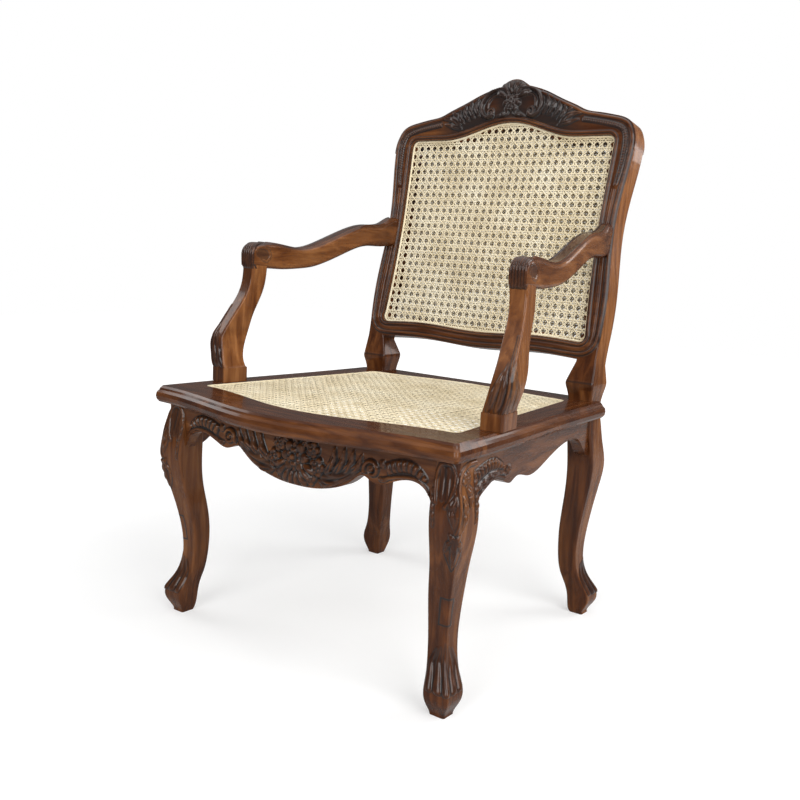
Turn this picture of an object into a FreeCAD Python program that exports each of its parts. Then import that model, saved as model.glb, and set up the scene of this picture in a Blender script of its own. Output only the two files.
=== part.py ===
import FreeCAD, Part
import math
import os

from FreeCAD import Placement, Rotation, Vector

# Caned open armchair: cabriole legs, dowelled seat frame, raked back caned on both faces, scrolled arms.
# Millimetres, +Z up, floor at z = 0, front towards -Y, middle of the chair at x = 0.

DIMENSIONS = [
    ("seat_height", 433, "floor to the top of the seat frame"),
    ("board_thickness", 29, "thickness of the seat frame boards"),
    ("seat_front_width", 670, "seat frame across the front corners"),
    ("seat_rear_width", 594, "seat frame across the rear ends"),
    ("seat_depth", 560, "front corner line to the rear ends of the side boards"),
    ("front_bow", 56, "bow of the front edge beyond the corner line"),
    ("side_sway", 2.5, "swell and hollow of each side edge"),
    ("rear_tongue", 23, "rear board beyond the rear ends of the side boards"),
    ("front_board_depth", 84, "front board behind the corner line"),
    ("rim_corner", 8, "rounding of the seat frame corners"),
    ("rim_bevel", 7, "depth of the bevel round the top of the rim"),
    ("side_board_front", 51, "side board beside the front corners of the caned opening"),
    ("side_board_rear", 63, "side board beside the rear corners of the caned opening"),
    ("opening_inset", 73, "corner line to the front corners of the opening"),
    ("rear_board_depth", 46, "rear corners of the opening to the rear ends"),
    ("opening_front_bow", 54, "bow of the front edge of the opening"),
    ("opening_rear_bow", 26, "bow of the rear edge of the opening"),
    ("cane_corner", 14, "rounding of the corners of both caned openings"),
    ("cane_ledge", 9, "wood behind the edge of the cane"),
    ("cane_thickness", 2.4, "thickness of the woven cane"),
    ("spline_width", 4.5, "strip that holds the edge of the cane"),
    ("binder_height", 3, "strip over the edge of the back cane, front and rear"),
    ("seat_rabbet", 4, "depth of the rabbet for the seat cane"),
    ("net_margin", 3, "plain cane inside the wood round each opening"),
    ("net_pitch", 27.5, "pitch of the gaps in the cane"),
    ("net_gap", 15, "width of one gap in the cane"),
    ("front_leg_inset_x", 34, "front foot inside the front corner, sideways"),
    ("front_leg_inset_y", 48, "front foot behind the corner line"),
    ("rear_foot_splay", 10, "rear foot outside its post"),
    ("rear_foot_throw", 24, "rear foot behind the rear ends of the side boards"),
    ("foot_side", 28, "square of the foot on the floor"),
    ("toe_side", 46, "square of the scroll foot"),
    ("ankle_side", 36, "square of the front ankle"),
    ("rear_ankle_side", 39, "square of the rear ankle"),
    ("knee_side", 55, "square of the knee"),
    ("leg_top_side", 46, "square of the front leg under the seat"),
    ("toe_out", 5, "outward throw of the scroll foot"),
    ("ankle_in", 21, "inward throw of the ankle"),
    ("knee_out", 7.5, "outward throw of the knee"),
    ("leg_round", 4, "rounding of the leg edges"),
    ("post_inset", 47, "rear post inside the rear end of the seat frame"),
    ("post_advance", 1, "rear post ahead of the rear ends of the side boards"),
    ("post_width", 48, "rear post across at the seat"),
    ("post_depth", 50, "rear post front to back at the seat"),
    ("post_block", 36, "base block of the rear post above the seat"),
    ("block_swell", 5, "swell of the base block on each face"),
    ("apron_thickness", 22, "thickness of the aprons"),
    ("front_apron_setback", 28, "front apron face behind the corner line"),
    ("front_apron_drop", 98, "middle of the front apron under the seat frame"),
    ("side_apron_front", 5, "side apron outside the front leg centre"),
    ("side_apron_rear", 9, "side apron outside the rear post centre"),
    ("side_apron_drop", 66, "side apron under the seat frame"),
    ("rear_apron_height", 46, "height of the rear apron"),
    ("tenon_thickness", 10, "thickness of the apron and rail tenons"),
    ("tenon_height", 30, "height of the apron tenons"),
    ("tenon_shoulder", 12, "seat frame to the top of an apron tenon"),
    ("tenon_depth", 15, "depth of the apron tenons in the legs"),
    ("back_lift", 105, "bottom of the back cane above the seat"),
    ("back_advance", 7, "bottom of the back cane ahead of the rear ends of the side boards"),
    ("back_rake", 10.5, "lean of the back in degrees"),
    ("back_thickness", 44, "thickness of the back frame"),
    ("cane_recess", 8, "back cane behind the front of the back frame"),
    ("stile_height", 373, "stile above the bottom of the back cane"),
    ("back_cane_height", 28, "shoulders of the back cane above the top of the stiles"),
    ("back_cane_arch", 33, "arch of the back cane above its shoulders"),
    ("back_cane_inset", 10, "edge of the back cane inside the post centre"),
    ("cane_waist", 5, "back cane drawn in at the middle of each side"),
    ("cane_flare", 6, "back cane spread at the bottom of each side"),
    ("stile_width", 43, "stile outside the back cane at the shoulders"),
    ("stile_waist", 13, "stile drawn in above the arms"),
    ("stile_taper", 10, "stile drawn in towards the seat"),
    ("crest_height", 120, "crest rail above the shoulders of the back cane"),
    ("arch_half", 155, "half span of the arch of the back cane"),
    ("rail_wave", 6, "rise of the serpentine edges of the lower back rail"),
    ("rail_relief", 6, "lower back rail thinner than the stiles"),
    ("rail_drop", 31, "lower back rail below the back cane"),
    ("arm_front_height", 265, "top of the arm knuckle above the seat"),
    ("arm_dip_height", 257, "lowest top of the arm above the seat"),
    ("arm_rear_height", 318, "top of the arm at the back post above the seat"),
    ("arm_setback", 191, "arm knuckle behind the corner line"),
    ("arm_inset", 35, "arm knuckle inside the front corner"),
    ("arm_rear_out", 4, "arm outside the post centre at the back"),
    ("arm_width", 38, "widest part of the arm"),
    ("arm_thickness", 40, "arm from top to underside at the dip"),
    ("arm_round", 9, "rounding of the arm edges"),
    ("support_neck", 37, "arm support front to back under the knuckle"),
    ("support_width", 40, "arm support across its base block"),
    ("support_depth", 55, "arm support base block front to back"),
    ("support_setback", 35, "arm support base ahead of the knuckle"),
    ("support_bulge", 12, "outward swell of the arm support"),
    ("support_block", 27, "height of the arm support base block"),
    ("dowel_diameter", 9, "joint dowels"),
    ("dowel_depth", 17, "dowel length in each of the two pieces"),
]

doc = FreeCAD.newDocument("caned_armchair")
sheet = doc.addObject("Spreadsheet::Sheet", "sizes")
for row, (alias, value, note) in enumerate(DIMENSIONS, start=1):
    sheet.set(f"A{row}", alias)
    sheet.set(f"B{row}", str(value))
    sheet.set(f"C{row}", note)
    sheet.setAlias(f"B{row}", alias)
doc.recompute()


def size(alias):
    """Value of a driving dimension."""
    return float(sheet.get(alias))


def blend(start, end, share):
    """Value that lies a share of the way from start to end."""
    return start + (end - start) * share


def swell(share):
    """Raised cosine: 1 in the middle, 0 at both ends, level at each."""
    return 0.5 * (1 + math.cos(math.pi * share))


# Heights and places that several pieces share
SEAT_TOP = size("seat_height")
FRAME_UNDER = SEAT_TOP - size("board_thickness")
RAKE = math.radians(size("back_rake"))
CANE_TOP = size("stile_height") + size("back_cane_height")
CREST_TOP = CANE_TOP + size("crest_height")
CREST_BEHIND = CREST_TOP * math.sin(RAKE) + (size("back_thickness") - size("cane_recess")) * math.cos(RAKE)
CORNER_Y = (size("front_bow") - size("seat_depth") + size("back_advance") - CREST_BEHIND) / 2
REAR_END_Y = CORNER_Y + size("seat_depth")
FRONT_HALF = size("seat_front_width") / 2
REAR_HALF = size("seat_rear_width") / 2
OPENING_FRONT_HALF = FRONT_HALF - size("side_board_front")
OPENING_REAR_HALF = REAR_HALF - size("side_board_rear")
FRONT_LEG = Vector(FRONT_HALF - size("front_leg_inset_x"), CORNER_Y + size("front_leg_inset_y"), 0)
POST_X = REAR_HALF - size("post_inset")
POST_Y = REAR_END_Y - size("post_advance")
POST_INNER = POST_X - size("post_width") / 2
REAR_FOOT = Vector(POST_X + size("rear_foot_splay"), REAR_END_Y + size("rear_foot_throw"), 0)
BACK_HALF = POST_X - size("back_cane_inset")

# Points along each drawn edge, and spare wood that an opening or a neighbour then cuts away
STEPS = 12
TRIM = 3


def feature(name, shape):
    """Document object that holds a shape worked out from the sheet."""
    made = doc.addObject("Part::Feature", name)
    made.Shape = shape
    return made


def named(made, label):
    """Give a finished sub-part the label that names its node."""
    made.Label = label
    return made


def cut(name, base, tools):
    """Base piece with every tool taken away."""
    tool = tools[0]
    if len(tools) > 1:
        tool = fuse(name + "_tools", tools)
    made = doc.addObject("Part::Cut", name)
    made.Base = base
    made.Tool = tool
    doc.recompute()
    return made


def fuse(name, pieces):
    """One piece from several that run into each other."""
    made = doc.addObject("Part::MultiFuse", name)
    made.Shapes = pieces
    made.Refine = False
    doc.recompute()
    return made


def common(name, first, second):
    """What two shapes share."""
    made = doc.addObject("Part::Common", name)
    made.Base = first
    made.Tool = second
    doc.recompute()
    return made


def mirrored(name, source):
    """Left-hand copy of a right-hand piece."""
    made = doc.addObject("Part::Mirroring", name)
    made.Source = source
    made.Normal = Vector(1, 0, 0)
    doc.recompute()
    return made


def box(name, length, width, height, placement):
    """Block centred on its placement in length and width, standing on it, sizes bound to the sheet."""
    made = doc.addObject("Part::Box", name)
    made.setExpression("Length", length)
    made.setExpression("Width", width)
    made.setExpression("Height", height)
    doc.recompute()
    middle = Vector(-made.Length.Value / 2, -made.Width.Value / 2, 0)
    made.Placement = placement.multiply(Placement(middle, Rotation()))
    return made


def dowel(name, centre, direction):
    """Joint pin, half in each of two pieces."""
    made = doc.addObject("Part::Cylinder", name)
    made.setExpression("Radius", "sizes.dowel_diameter / 2")
    made.setExpression("Height", "sizes.dowel_depth * 2")
    turn = Rotation(Vector(0, 0, 1), direction)
    made.Placement = Placement(centre - direction * size("dowel_depth"), turn)
    return made


def group(name, pieces):
    """Like pieces kept as separate solids of one node."""
    made = doc.addObject("Part::Compound", name)
    made.Links = pieces
    doc.recompute()
    return made


def curve(points):
    """Smooth edge through points."""
    spline = Part.BSplineCurve()
    spline.interpolate([Vector(*point) for point in points])
    return spline.toShape()


def line(start, end):
    return Part.makeLine(Vector(*start), Vector(*end))


def corner_arc(start, corner, end):
    """Arc that rounds a corner between two points next to it."""
    first, tip, last = Vector(*start), Vector(*corner), Vector(*end)
    middle = tip + (first - tip + last - tip) * (1 - math.sqrt(0.5))
    return Part.Arc(first, middle, last).toShape()


def rounded_rectangle(width, depth, radius):
    """Closed outline centred on the origin in the XY plane."""
    edges = []
    for turn in range(4):
        flip = Rotation(Vector(0, 0, 1), 90 * turn)
        x, y = (width / 2, depth / 2) if turn % 2 == 0 else (depth / 2, width / 2)
        start, end = flip.multVec(Vector(radius - x, -y, 0)), flip.multVec(Vector(x - radius, -y, 0))
        corner, after = flip.multVec(Vector(x, -y, 0)), flip.multVec(Vector(x, radius - y, 0))
        edges.append(Part.makeLine(start, end))
        edges.append(corner_arc(end, corner, after))
    return Part.Wire(edges)


def section(width, depth, radius, placement):
    """Rounded rectangle in space, one station of a loft."""
    wire = rounded_rectangle(width, depth, radius)
    wire.Placement = placement
    return wire


def loft(name, wires, ruled=False):
    """Solid through a row of like outlines."""
    return feature(name, Part.makeLoft(wires, True, ruled))


def prism(name, wire, direction):
    """Solid that a closed outline, or an outline and its holes, sweeps along a straight direction."""
    wires = wire if isinstance(wire, list) else [wire]
    return feature(name, Part.makeFace(wires, "Part::FaceMakerCheese").extrude(direction))


def level(x, y, z):
    return Placement(Vector(x, y, z), Rotation())


# Seat frame: four boards with a moulded rim, split from one outline

def seat_outline(inset, z):
    """Plan of the seat frame, drawn in by an inset, at height z."""
    half, rear = FRONT_HALF - inset, REAR_HALF - inset
    front_y, end_y = CORNER_Y + inset, REAR_END_Y - inset
    tongue_y = REAR_END_Y + size("rear_tongue") - inset
    radius = size("rim_corner")

    def side(y):
        share = (y - front_y) / (end_y - front_y)
        return blend(half, rear, share) + size("side_sway") * math.sin(2 * math.pi * share)

    reach = 1 - radius / half
    front = []
    for step in range(-STEPS, STEPS + 1):
        share = reach * step / STEPS
        front.append((half * share, front_y - size("front_bow") * swell(share), z))
    right = []
    for step in range(STEPS + 1):
        y = blend(front_y + radius, end_y - radius, step / STEPS)
        right.append((side(y), y, z))
    left = [(-x, y, z) for x, y, _ in reversed(right)]
    rear_right, rear_left = (rear - radius, end_y, z), (radius - rear, end_y, z)
    edges = [
        curve(front),
        corner_arc(front[-1], (half, front_y, z), right[0]),
        curve(right),
        corner_arc(right[-1], (rear, end_y, z), rear_right),
        line(rear_right, (POST_X, end_y, z)),
        line((POST_X, end_y, z), (POST_X, tongue_y, z)),
        line((POST_X, tongue_y, z), (-POST_X, tongue_y, z)),
        line((-POST_X, tongue_y, z), (-POST_X, end_y, z)),
        line((-POST_X, end_y, z), rear_left),
        corner_arc(rear_left, (-rear, end_y, z), left[0]),
        curve(left),
        corner_arc(left[-1], (-half, front_y, z), front[0]),
    ]
    return Part.Wire(edges)


def seat_opening(inset, z):
    """Plan of the caned seat opening, drawn in by an inset, at height z."""
    front_half = OPENING_FRONT_HALF - inset
    rear_half = OPENING_REAR_HALF - inset
    front_y = CORNER_Y + size("opening_inset") + inset
    rear_y = REAR_END_Y - size("rear_board_depth") - inset
    radius = size("cane_corner")
    front, rear = [], []
    for step in range(-STEPS, STEPS + 1):
        share = (1 - radius / front_half) * step / STEPS
        front.append((front_half * share, front_y - size("opening_front_bow") * swell(share), z))
        share = (1 - radius / rear_half) * step / STEPS
        rear.append((-rear_half * share, rear_y + size("opening_rear_bow") * swell(share), z))
    tilt = (front_half - rear_half) / (rear_y - front_y) * radius
    side_front, side_rear = front_half - tilt, rear_half + tilt
    near, far = front_y + radius, rear_y - radius
    edges = [
        curve(front),
        corner_arc(front[-1], (front_half, front_y, z), (side_front, near, z)),
        line((side_front, near, z), (side_rear, far, z)),
        corner_arc((side_rear, far, z), (rear_half, rear_y, z), rear[0]),
        curve(rear),
        corner_arc(rear[-1], (-rear_half, rear_y, z), (-side_rear, far, z)),
        line((-side_rear, far, z), (-side_front, near, z)),
        corner_arc((-side_front, near, z), (-front_half, front_y, z), front[0]),
    ]
    return Part.Wire(edges)


def seat_ring():
    """Whole seat frame before it is split: rounded rim, bevel and flat top."""
    bevel = size("rim_bevel")
    nose = size("board_thickness") - bevel
    stations = [
        (bevel * 0.6, 0),
        (bevel * 0.15, nose * 0.2),
        (0, nose * 0.5),
        (bevel * 0.15, nose * 0.8),
        (bevel * 0.6, nose),
        (bevel * 0.8, nose + bevel * 0.5),
        (bevel * 1.2, size("board_thickness")),
    ]
    wires = [seat_outline(inset, FRAME_UNDER + rise) for inset, rise in stations]
    blank = loft("seat_blank", wires, ruled=True)
    deep = Vector(0, 0, size("board_thickness") * 3)
    through = prism("seat_through", seat_opening(size("cane_ledge"), FRAME_UNDER - deep.z / 3), deep)
    rabbet = prism("seat_rabbet", seat_opening(0, SEAT_TOP - size("seat_rabbet")), deep)
    return cut("seat_ring", blank, [through, rabbet])


# Legs and posts

def leg_station(fraction, side, out, foot, mirror_y):
    """Square section of a cabriole leg, thrown along the diagonal away from the chair."""
    diagonal = Vector(1, mirror_y, 0) * math.sqrt(0.5) * out
    centre = foot + diagonal
    return section(side, side, size("leg_round"), level(centre.x, centre.y, FRAME_UNDER * fraction))


def cabriole(foot, mirror_y, knee_out, ankle_in, ankle):
    """Stations of a leg from the floor to just under the knee."""
    foot_side, toe, knee = size("foot_side"), size("toe_side"), size("knee_side")
    toe_out = size("toe_out")
    rows = [
        (0.00, foot_side, 0.2 * toe_out),
        (0.05, blend(foot_side, toe, 0.7), 0.7 * toe_out),
        (0.095, toe, toe_out),
        (0.15, blend(toe, ankle, 0.55), blend(toe_out, -ankle_in, 0.33)),
        (0.21, ankle, blend(toe_out, -ankle_in, 0.75)),
        (0.32, ankle, -ankle_in),
        (0.44, blend(ankle, knee, 0.24), blend(-ankle_in, knee_out, 0.12)),
        (0.54, blend(ankle, knee, 0.42), blend(-ankle_in, knee_out, 0.43)),
        (0.65, blend(ankle, knee, 0.7), blend(-ankle_in, knee_out, 0.82)),
        (0.76, knee, knee_out),
    ]
    return [leg_station(fraction, side, out, foot, mirror_y) for fraction, side, out in rows]


def front_leg_blank():
    knee, top = size("knee_side"), size("leg_top_side")
    wires = cabriole(FRONT_LEG, -1, size("knee_out"), size("ankle_in"), size("ankle_side"))
    wires.append(leg_station(0.87, blend(top, knee, 0.55), 0.5 * size("knee_out"), FRONT_LEG, -1))
    wires.append(leg_station(1.0, top, 0, FRONT_LEG, -1))
    return loft("front_leg_blank", wires)


BACK_ORIGIN = Vector(0, REAR_END_Y - size("back_advance"), SEAT_TOP + size("back_lift"))
BACK_FRAME = Placement(BACK_ORIGIN, Rotation(Vector(1, 0, 0), 90 - size("back_rake")))
BACK_FRONT = size("cane_recess")
BACK_REAR = BACK_FRONT - size("back_thickness")
RAIL_REAR = BACK_REAR + size("rail_relief")
REAR_CANE = RAIL_REAR + size("binder_height")


def back_cane_side(v):
    """Half width of the back cane at a height v up the back: waisted, wider at the bottom."""
    share = min(max(v / size("stile_height"), 0), 1)
    waist = size("cane_waist") * math.sin(math.pi * share)
    flare = size("cane_flare") * max(0, 1 - 1.6 * share) ** 1.5
    return BACK_HALF - waist + flare


def stile_outer(v):
    """Outer edge of the back: drawn in at the arms, spreading to the shoulders."""
    share = v / size("stile_height")
    from_waist = min(1, abs(2.2 * (share - 0.6)))
    taper = size("stile_taper") * max(0, 0.5 - share)
    return BACK_HALF + size("stile_width") - size("stile_waist") * swell(from_waist) - taper


def stile_section(v):
    """Station of a back stile, square to the rake."""
    inner = back_cane_side(v) - size("cane_ledge") - TRIM
    outer = stile_outer(v)
    centre = Vector((inner + outer) / 2, v, (BACK_FRONT + BACK_REAR) / 2)
    place = BACK_FRAME.multiply(Placement(centre, Rotation(Vector(1, 0, 0), -90)))
    return section(outer - inner, size("back_thickness"), size("leg_round"), place)


def rear_post_blank():
    """Rear leg and back stile in one piece of wood."""
    width, depth, radius = size("post_width"), size("post_depth"), size("leg_round")
    knee_out, ankle_in = -1.2 * size("knee_out"), 1.2 * size("ankle_in")
    wires = cabriole(REAR_FOOT, 1, knee_out, ankle_in, size("rear_ankle_side"))
    knee = wires[-1].BoundBox.Center
    side = size("knee_side")
    for share in (0.45, 0.85):
        centre = blend(knee, Vector(POST_X, POST_Y, FRAME_UNDER), share)
        across, deep = blend(side, width, share), blend(side, depth, share)
        wires.append(section(across, deep, radius, level(*centre)))
    block = size("post_block")
    for rise, swollen in ((FRAME_UNDER - SEAT_TOP, 0), (0, 0), (block * 0.6, 0.8), (block, 1)):
        extra = 2 * size("block_swell") * swollen
        wires.append(section(width + extra, depth + extra, radius, level(POST_X, POST_Y, SEAT_TOP + rise)))
    leg = loft("rear_leg_loft", wires)
    foot_of_stile = -size("rail_drop") - TRIM
    shoulder = loft("post_shoulder", [wires[-1], stile_section(foot_of_stile)], ruled=True)
    stations = [blend(foot_of_stile, size("stile_height"), step / 8) for step in range(9)]
    stile = loft("stile_loft", [stile_section(v) for v in stations])
    return fuse("rear_post_blank", [leg, shoulder, stile])


# Aprons: boards scribed to the legs, with tenons

def apron_edge(half_points):
    """Scalloped lower edge, mirrored about the middle, from (share of half length, drop) points."""
    mirror = [(-share, drop) for share, drop in reversed(half_points)]
    return mirror[:-1] + half_points


def apron_board(name, frame, start, end, edge_points):
    """Board under the seat frame between two places along its own X axis, with a shaped lower edge."""
    lower = [(blend(start, end, share), 0, FRAME_UNDER - drop) for share, drop in edge_points]
    edges = [
        curve(lower),
        line(lower[-1], (end, 0, FRAME_UNDER)),
        line((end, 0, FRAME_UNDER), (start, 0, FRAME_UNDER)),
        line((start, 0, FRAME_UNDER), lower[0]),
    ]
    board = prism(name, Part.Wire(edges), Vector(0, size("apron_thickness"), 0))
    board.Placement = frame.multiply(level(0, -size("apron_thickness") / 2, 0))
    return board


def apron_tenon(name, frame, along):
    """Tenon on the end of an apron, half in the board and half in the leg."""
    base = FRAME_UNDER - size("tenon_shoulder") - size("tenon_height")
    place = frame.multiply(level(along, 0, base))
    return box(name, "sizes.tenon_depth * 2", "sizes.tenon_thickness", "sizes.tenon_height", place)


def front_apron_frame():
    return level(0, CORNER_Y + size("front_apron_setback") + size("apron_thickness") / 2, 0)


def front_apron_edge():
    """Drop of the front apron: cluster in the middle, a small leaf, then an arch to each leg."""
    drop = size("front_apron_drop")
    half = [
        (0, drop), (0.13, drop * 0.98), (0.257, drop * 0.9), (0.40, drop * 0.69), (0.47, drop * 0.56),
        (0.517, drop * 0.61), (0.573, drop * 0.65), (0.633, drop * 0.6), (0.717, drop * 0.5),
        (0.82, drop * 0.48), (0.875, drop * 0.57), (0.92, drop * 0.8), (0.95, drop * 0.95), (1.0, drop),
    ]
    return [((1 + share) / 2, depth) for share, depth in apron_edge(half)]


def side_apron_frame():
    """Right-hand side apron: X axis from the front leg to the rear post, slightly toed in."""
    front = Vector(FRONT_LEG.x + size("side_apron_front"), FRONT_LEG.y, 0)
    rear = Vector(POST_X + size("side_apron_rear"), POST_Y, 0)
    return Placement(front, Rotation(Vector(1, 0, 0), rear - front)), (rear - front).Length


def side_apron_edge():
    """Drop of a side apron from front to rear: leaf carving near the front, a long arch behind."""
    drop = size("side_apron_drop")
    return [
        (0, drop * 1.3), (0.084, drop * 1.15), (0.115, drop * 0.98), (0.195, drop * 0.78),
        (0.266, drop * 0.91), (0.31, drop), (0.345, drop * 0.91), (0.436, drop), (0.574, drop * 0.83),
        (0.70, drop * 0.56), (0.79, drop * 0.48), (0.85, drop * 0.53), (0.90, drop * 0.75),
        (0.94, drop * 1.05), (1.0, drop * 1.2),
    ]


def rear_apron_edge():
    """Straight lower edge of the rear apron."""
    return [(share, size("rear_apron_height")) for share in (0, 0.5, 1)]


# Back frame: everything here is drawn flat, u across, v up the back, w to the front

def serpentine(u, half, depth):
    """Lower edges of the back: low in the middle and at the ends, raised between."""
    return depth * math.sin(math.pi * abs(u) / (1.16 * half)) ** 2


def back_opening(inset, w):
    """Outline of the back cane, drawn in by an inset."""
    radius, height = size("cane_corner"), CANE_TOP
    top_half, low_half = BACK_HALF - inset, back_cane_side(0) - inset
    bottom, top, right = [], [], []
    for step in range(-STEPS, STEPS + 1):
        u = (low_half - radius) * step / STEPS
        bottom.append((u, serpentine(u, low_half, size("rail_wave")) + inset, w))
        u = (radius - top_half) * step / STEPS
        arch = swell(min(1, abs(u) / size("arch_half")))
        top.append((u, height + size("back_cane_arch") * arch - inset, w))
    for step in range(STEPS + 1):
        v = blend(bottom[-1][1] + radius, top[0][1] - radius, step / STEPS)
        right.append((back_cane_side(v) - inset, v, w))
    left = [(-u, v, w) for u, v, _ in reversed(right)]
    edges = [
        curve(bottom),
        corner_arc(bottom[-1], (right[0][0], bottom[-1][1], w), right[0]),
        curve(right),
        corner_arc(right[-1], (right[-1][0], top[0][1], w), top[0]),
        curve(top),
        corner_arc(top[-1], (left[0][0], top[-1][1], w), left[0]),
        curve(left),
        corner_arc(left[-1], (left[-1][0], bottom[0][1], w), bottom[0]),
    ]
    return Part.Wire(edges)


def on_back(made):
    """Stand a flat-drawn piece on the raked back."""
    made.Placement = BACK_FRAME
    return made


def back_prism(name, wire, length):
    return on_back(prism(name, wire, Vector(0, 0, length)))


def crest_blank():
    """Crest rail: shoulders over the stiles, a stepped rise and a round boss in the middle."""
    foot, base, rise = size("stile_height"), CANE_TOP, size("crest_height")
    half = stile_outer(foot)
    shares = [
        (0.998, -0.08), (0.98, 0.067), (0.945, 0.2), (0.895, 0.27), (0.823, 0.315), (0.716, 0.365),
        (0.60, 0.42), (0.537, 0.49), (0.458, 0.57), (0.376, 0.655), (0.286, 0.755), (0.197, 0.83),
        (0.107, 0.885),
    ]
    right = [(half, foot, BACK_REAR)] + [(half * x, base + rise * y, BACK_REAR) for x, y in shares]
    left = [(-u, v, w) for u, v, w in reversed(right)]
    boss = Part.Arc(Vector(*right[-1]), Vector(0, base + rise, BACK_REAR), Vector(*left[0])).toShape()
    wire = Part.Wire([curve(right), boss, curve(left), line(left[-1], right[0])])
    return back_prism("crest_blank", wire, size("back_thickness"))


def lower_rail_blank():
    """Lower back rail with a serpentine under edge."""
    half = BACK_HALF + size("cane_flare")
    top = size("cane_ledge") + size("cane_corner") + size("rail_wave")
    lower = []
    for step in range(-STEPS, STEPS + 1):
        u = half * step / STEPS
        lower.append((u, serpentine(u, half, size("rail_wave")) - size("rail_drop"), RAIL_REAR))
    edges = [
        curve(lower),
        line(lower[-1], (half, top, RAIL_REAR)),
        line((half, top, RAIL_REAR), (-half, top, RAIL_REAR)),
        line((-half, top, RAIL_REAR), lower[0]),
    ]
    return back_prism("lower_rail_blank", Part.Wire(edges), BACK_FRONT - RAIL_REAR)


def back_tenon(name, across, up, length, height):
    """Tenon in the middle of the back frame's thickness, standing up the back."""
    centre = Vector(across, up, (BACK_FRONT + BACK_REAR) / 2)
    place = BACK_FRAME.multiply(Placement(centre, Rotation(Vector(1, 0, 0), -90)))
    return box(name, length, "sizes.tenon_thickness", height, place)


def rail_tenon():
    """Tenon of the lower back rail in the right stile."""
    shoulder = back_cane_side(0) - size("cane_ledge")
    low = -size("rail_drop") * 0.7
    return back_tenon("rail_tenon_right", shoulder, low, "sizes.tenon_depth * 2", "sizes.rail_drop * 0.7")


def crest_tenon():
    """Tenon of the right stile in the crest rail."""
    foot = size("stile_height")
    across = (back_cane_side(foot) + stile_outer(foot)) / 2
    low = foot - size("tenon_depth")
    return back_tenon("crest_tenon_right", across, low, "sizes.tenon_height * 0.8", "sizes.tenon_depth * 2")


# Arms: each scrolls down at the front on to an S-shaped support

ARM_FRONT_Y = CORNER_Y + size("arm_setback")


def back_front_y(z):
    """Place of the front of the back frame at a height z."""
    up = (z - BACK_ORIGIN.z - BACK_FRONT * math.sin(RAKE)) / math.cos(RAKE)
    return BACK_ORIGIN.y + up * math.sin(RAKE) - BACK_FRONT * math.cos(RAKE)


ARM_REAR_TOP = SEAT_TOP + size("arm_rear_height")
ARM_REAR_Y = back_front_y(ARM_REAR_TOP)
ARM_REAR_X = POST_X + size("arm_rear_out")


def arm_centre(y):
    """Plan line of the right arm, which draws in towards the back."""
    share = (y - ARM_FRONT_Y) / (ARM_REAR_Y - ARM_FRONT_Y)
    return blend(FRONT_HALF - size("arm_inset"), ARM_REAR_X, share)


def arm_blank():
    """Right arm: rounded knuckle, dip for the forearm, rise to the back."""
    front, dip, rear = size("arm_front_height"), size("arm_dip_height"), size("arm_rear_height")
    thick, width = size("arm_thickness"), size("arm_width")
    knuckle = front - thick * 1.2
    rows = [
        (0.0, front - thick * 0.45, knuckle, width * 0.84),
        (0.01, front - thick * 0.2, knuckle, width * 0.86),
        (0.03, front - thick * 0.06, knuckle, width * 0.88),
        (0.06, front, knuckle, width * 0.9),
        (0.18, blend(dip, front, 0.69), knuckle - thick * 0.05, width * 0.95),
        (0.29, dip, dip - thick, width),
        (0.38, blend(dip, rear, 0.066), blend(dip, rear, 0.066) - thick, width),
        (0.47, blend(dip, rear, 0.26), blend(dip, rear, 0.26) - thick * 1.05, width),
        (0.58, blend(dip, rear, 0.54), blend(dip, rear, 0.54) - thick * 1.08, width * 0.98),
        (0.67, blend(dip, rear, 0.754), blend(dip, rear, 0.754) - thick * 1.08, width * 0.94),
        (0.77, blend(dip, rear, 0.893), blend(dip, rear, 0.893) - thick * 1.08, width * 0.89),
        (0.89, blend(dip, rear, 0.98), blend(dip, rear, 0.98) - thick * 1.2, width * 0.81),
        (1.06, blend(dip, rear, 0.92), blend(dip, rear, 0.92) - thick * 1.28, width * 0.74),
    ]
    upright = Rotation(Vector(1, 0, 0), 90)
    wires = []
    for share, top, under, across in rows:
        y = blend(ARM_FRONT_Y, ARM_REAR_Y, share)
        place = Placement(Vector(arm_centre(y), y, SEAT_TOP + (top + under) / 2), upright)
        wires.append(section(across, top - under, size("arm_round"), place))
    return loft("arm_blank", wires)


def behind_back():
    """Space behind the front of the back frame, where the arm stops."""
    reach = size("stile_height")
    wall = doc.addObject("Part::Box", "behind_back")
    for side in ("Length", "Width", "Height"):
        wall.setExpression(side, "sizes.stile_height * 2")
    wall.Placement = BACK_FRAME.multiply(level(-reach, -reach / 2, BACK_FRONT - 2 * reach))
    return wall


def support_frame():
    """Foot of the right arm support: X across, Y along the arm."""
    y = ARM_FRONT_Y - size("support_setback")
    along = Vector(arm_centre(y + 1) - arm_centre(y), 1, 0)
    return Placement(Vector(arm_centre(y), y, SEAT_TOP), Rotation(Vector(0, 1, 0), along))


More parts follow.
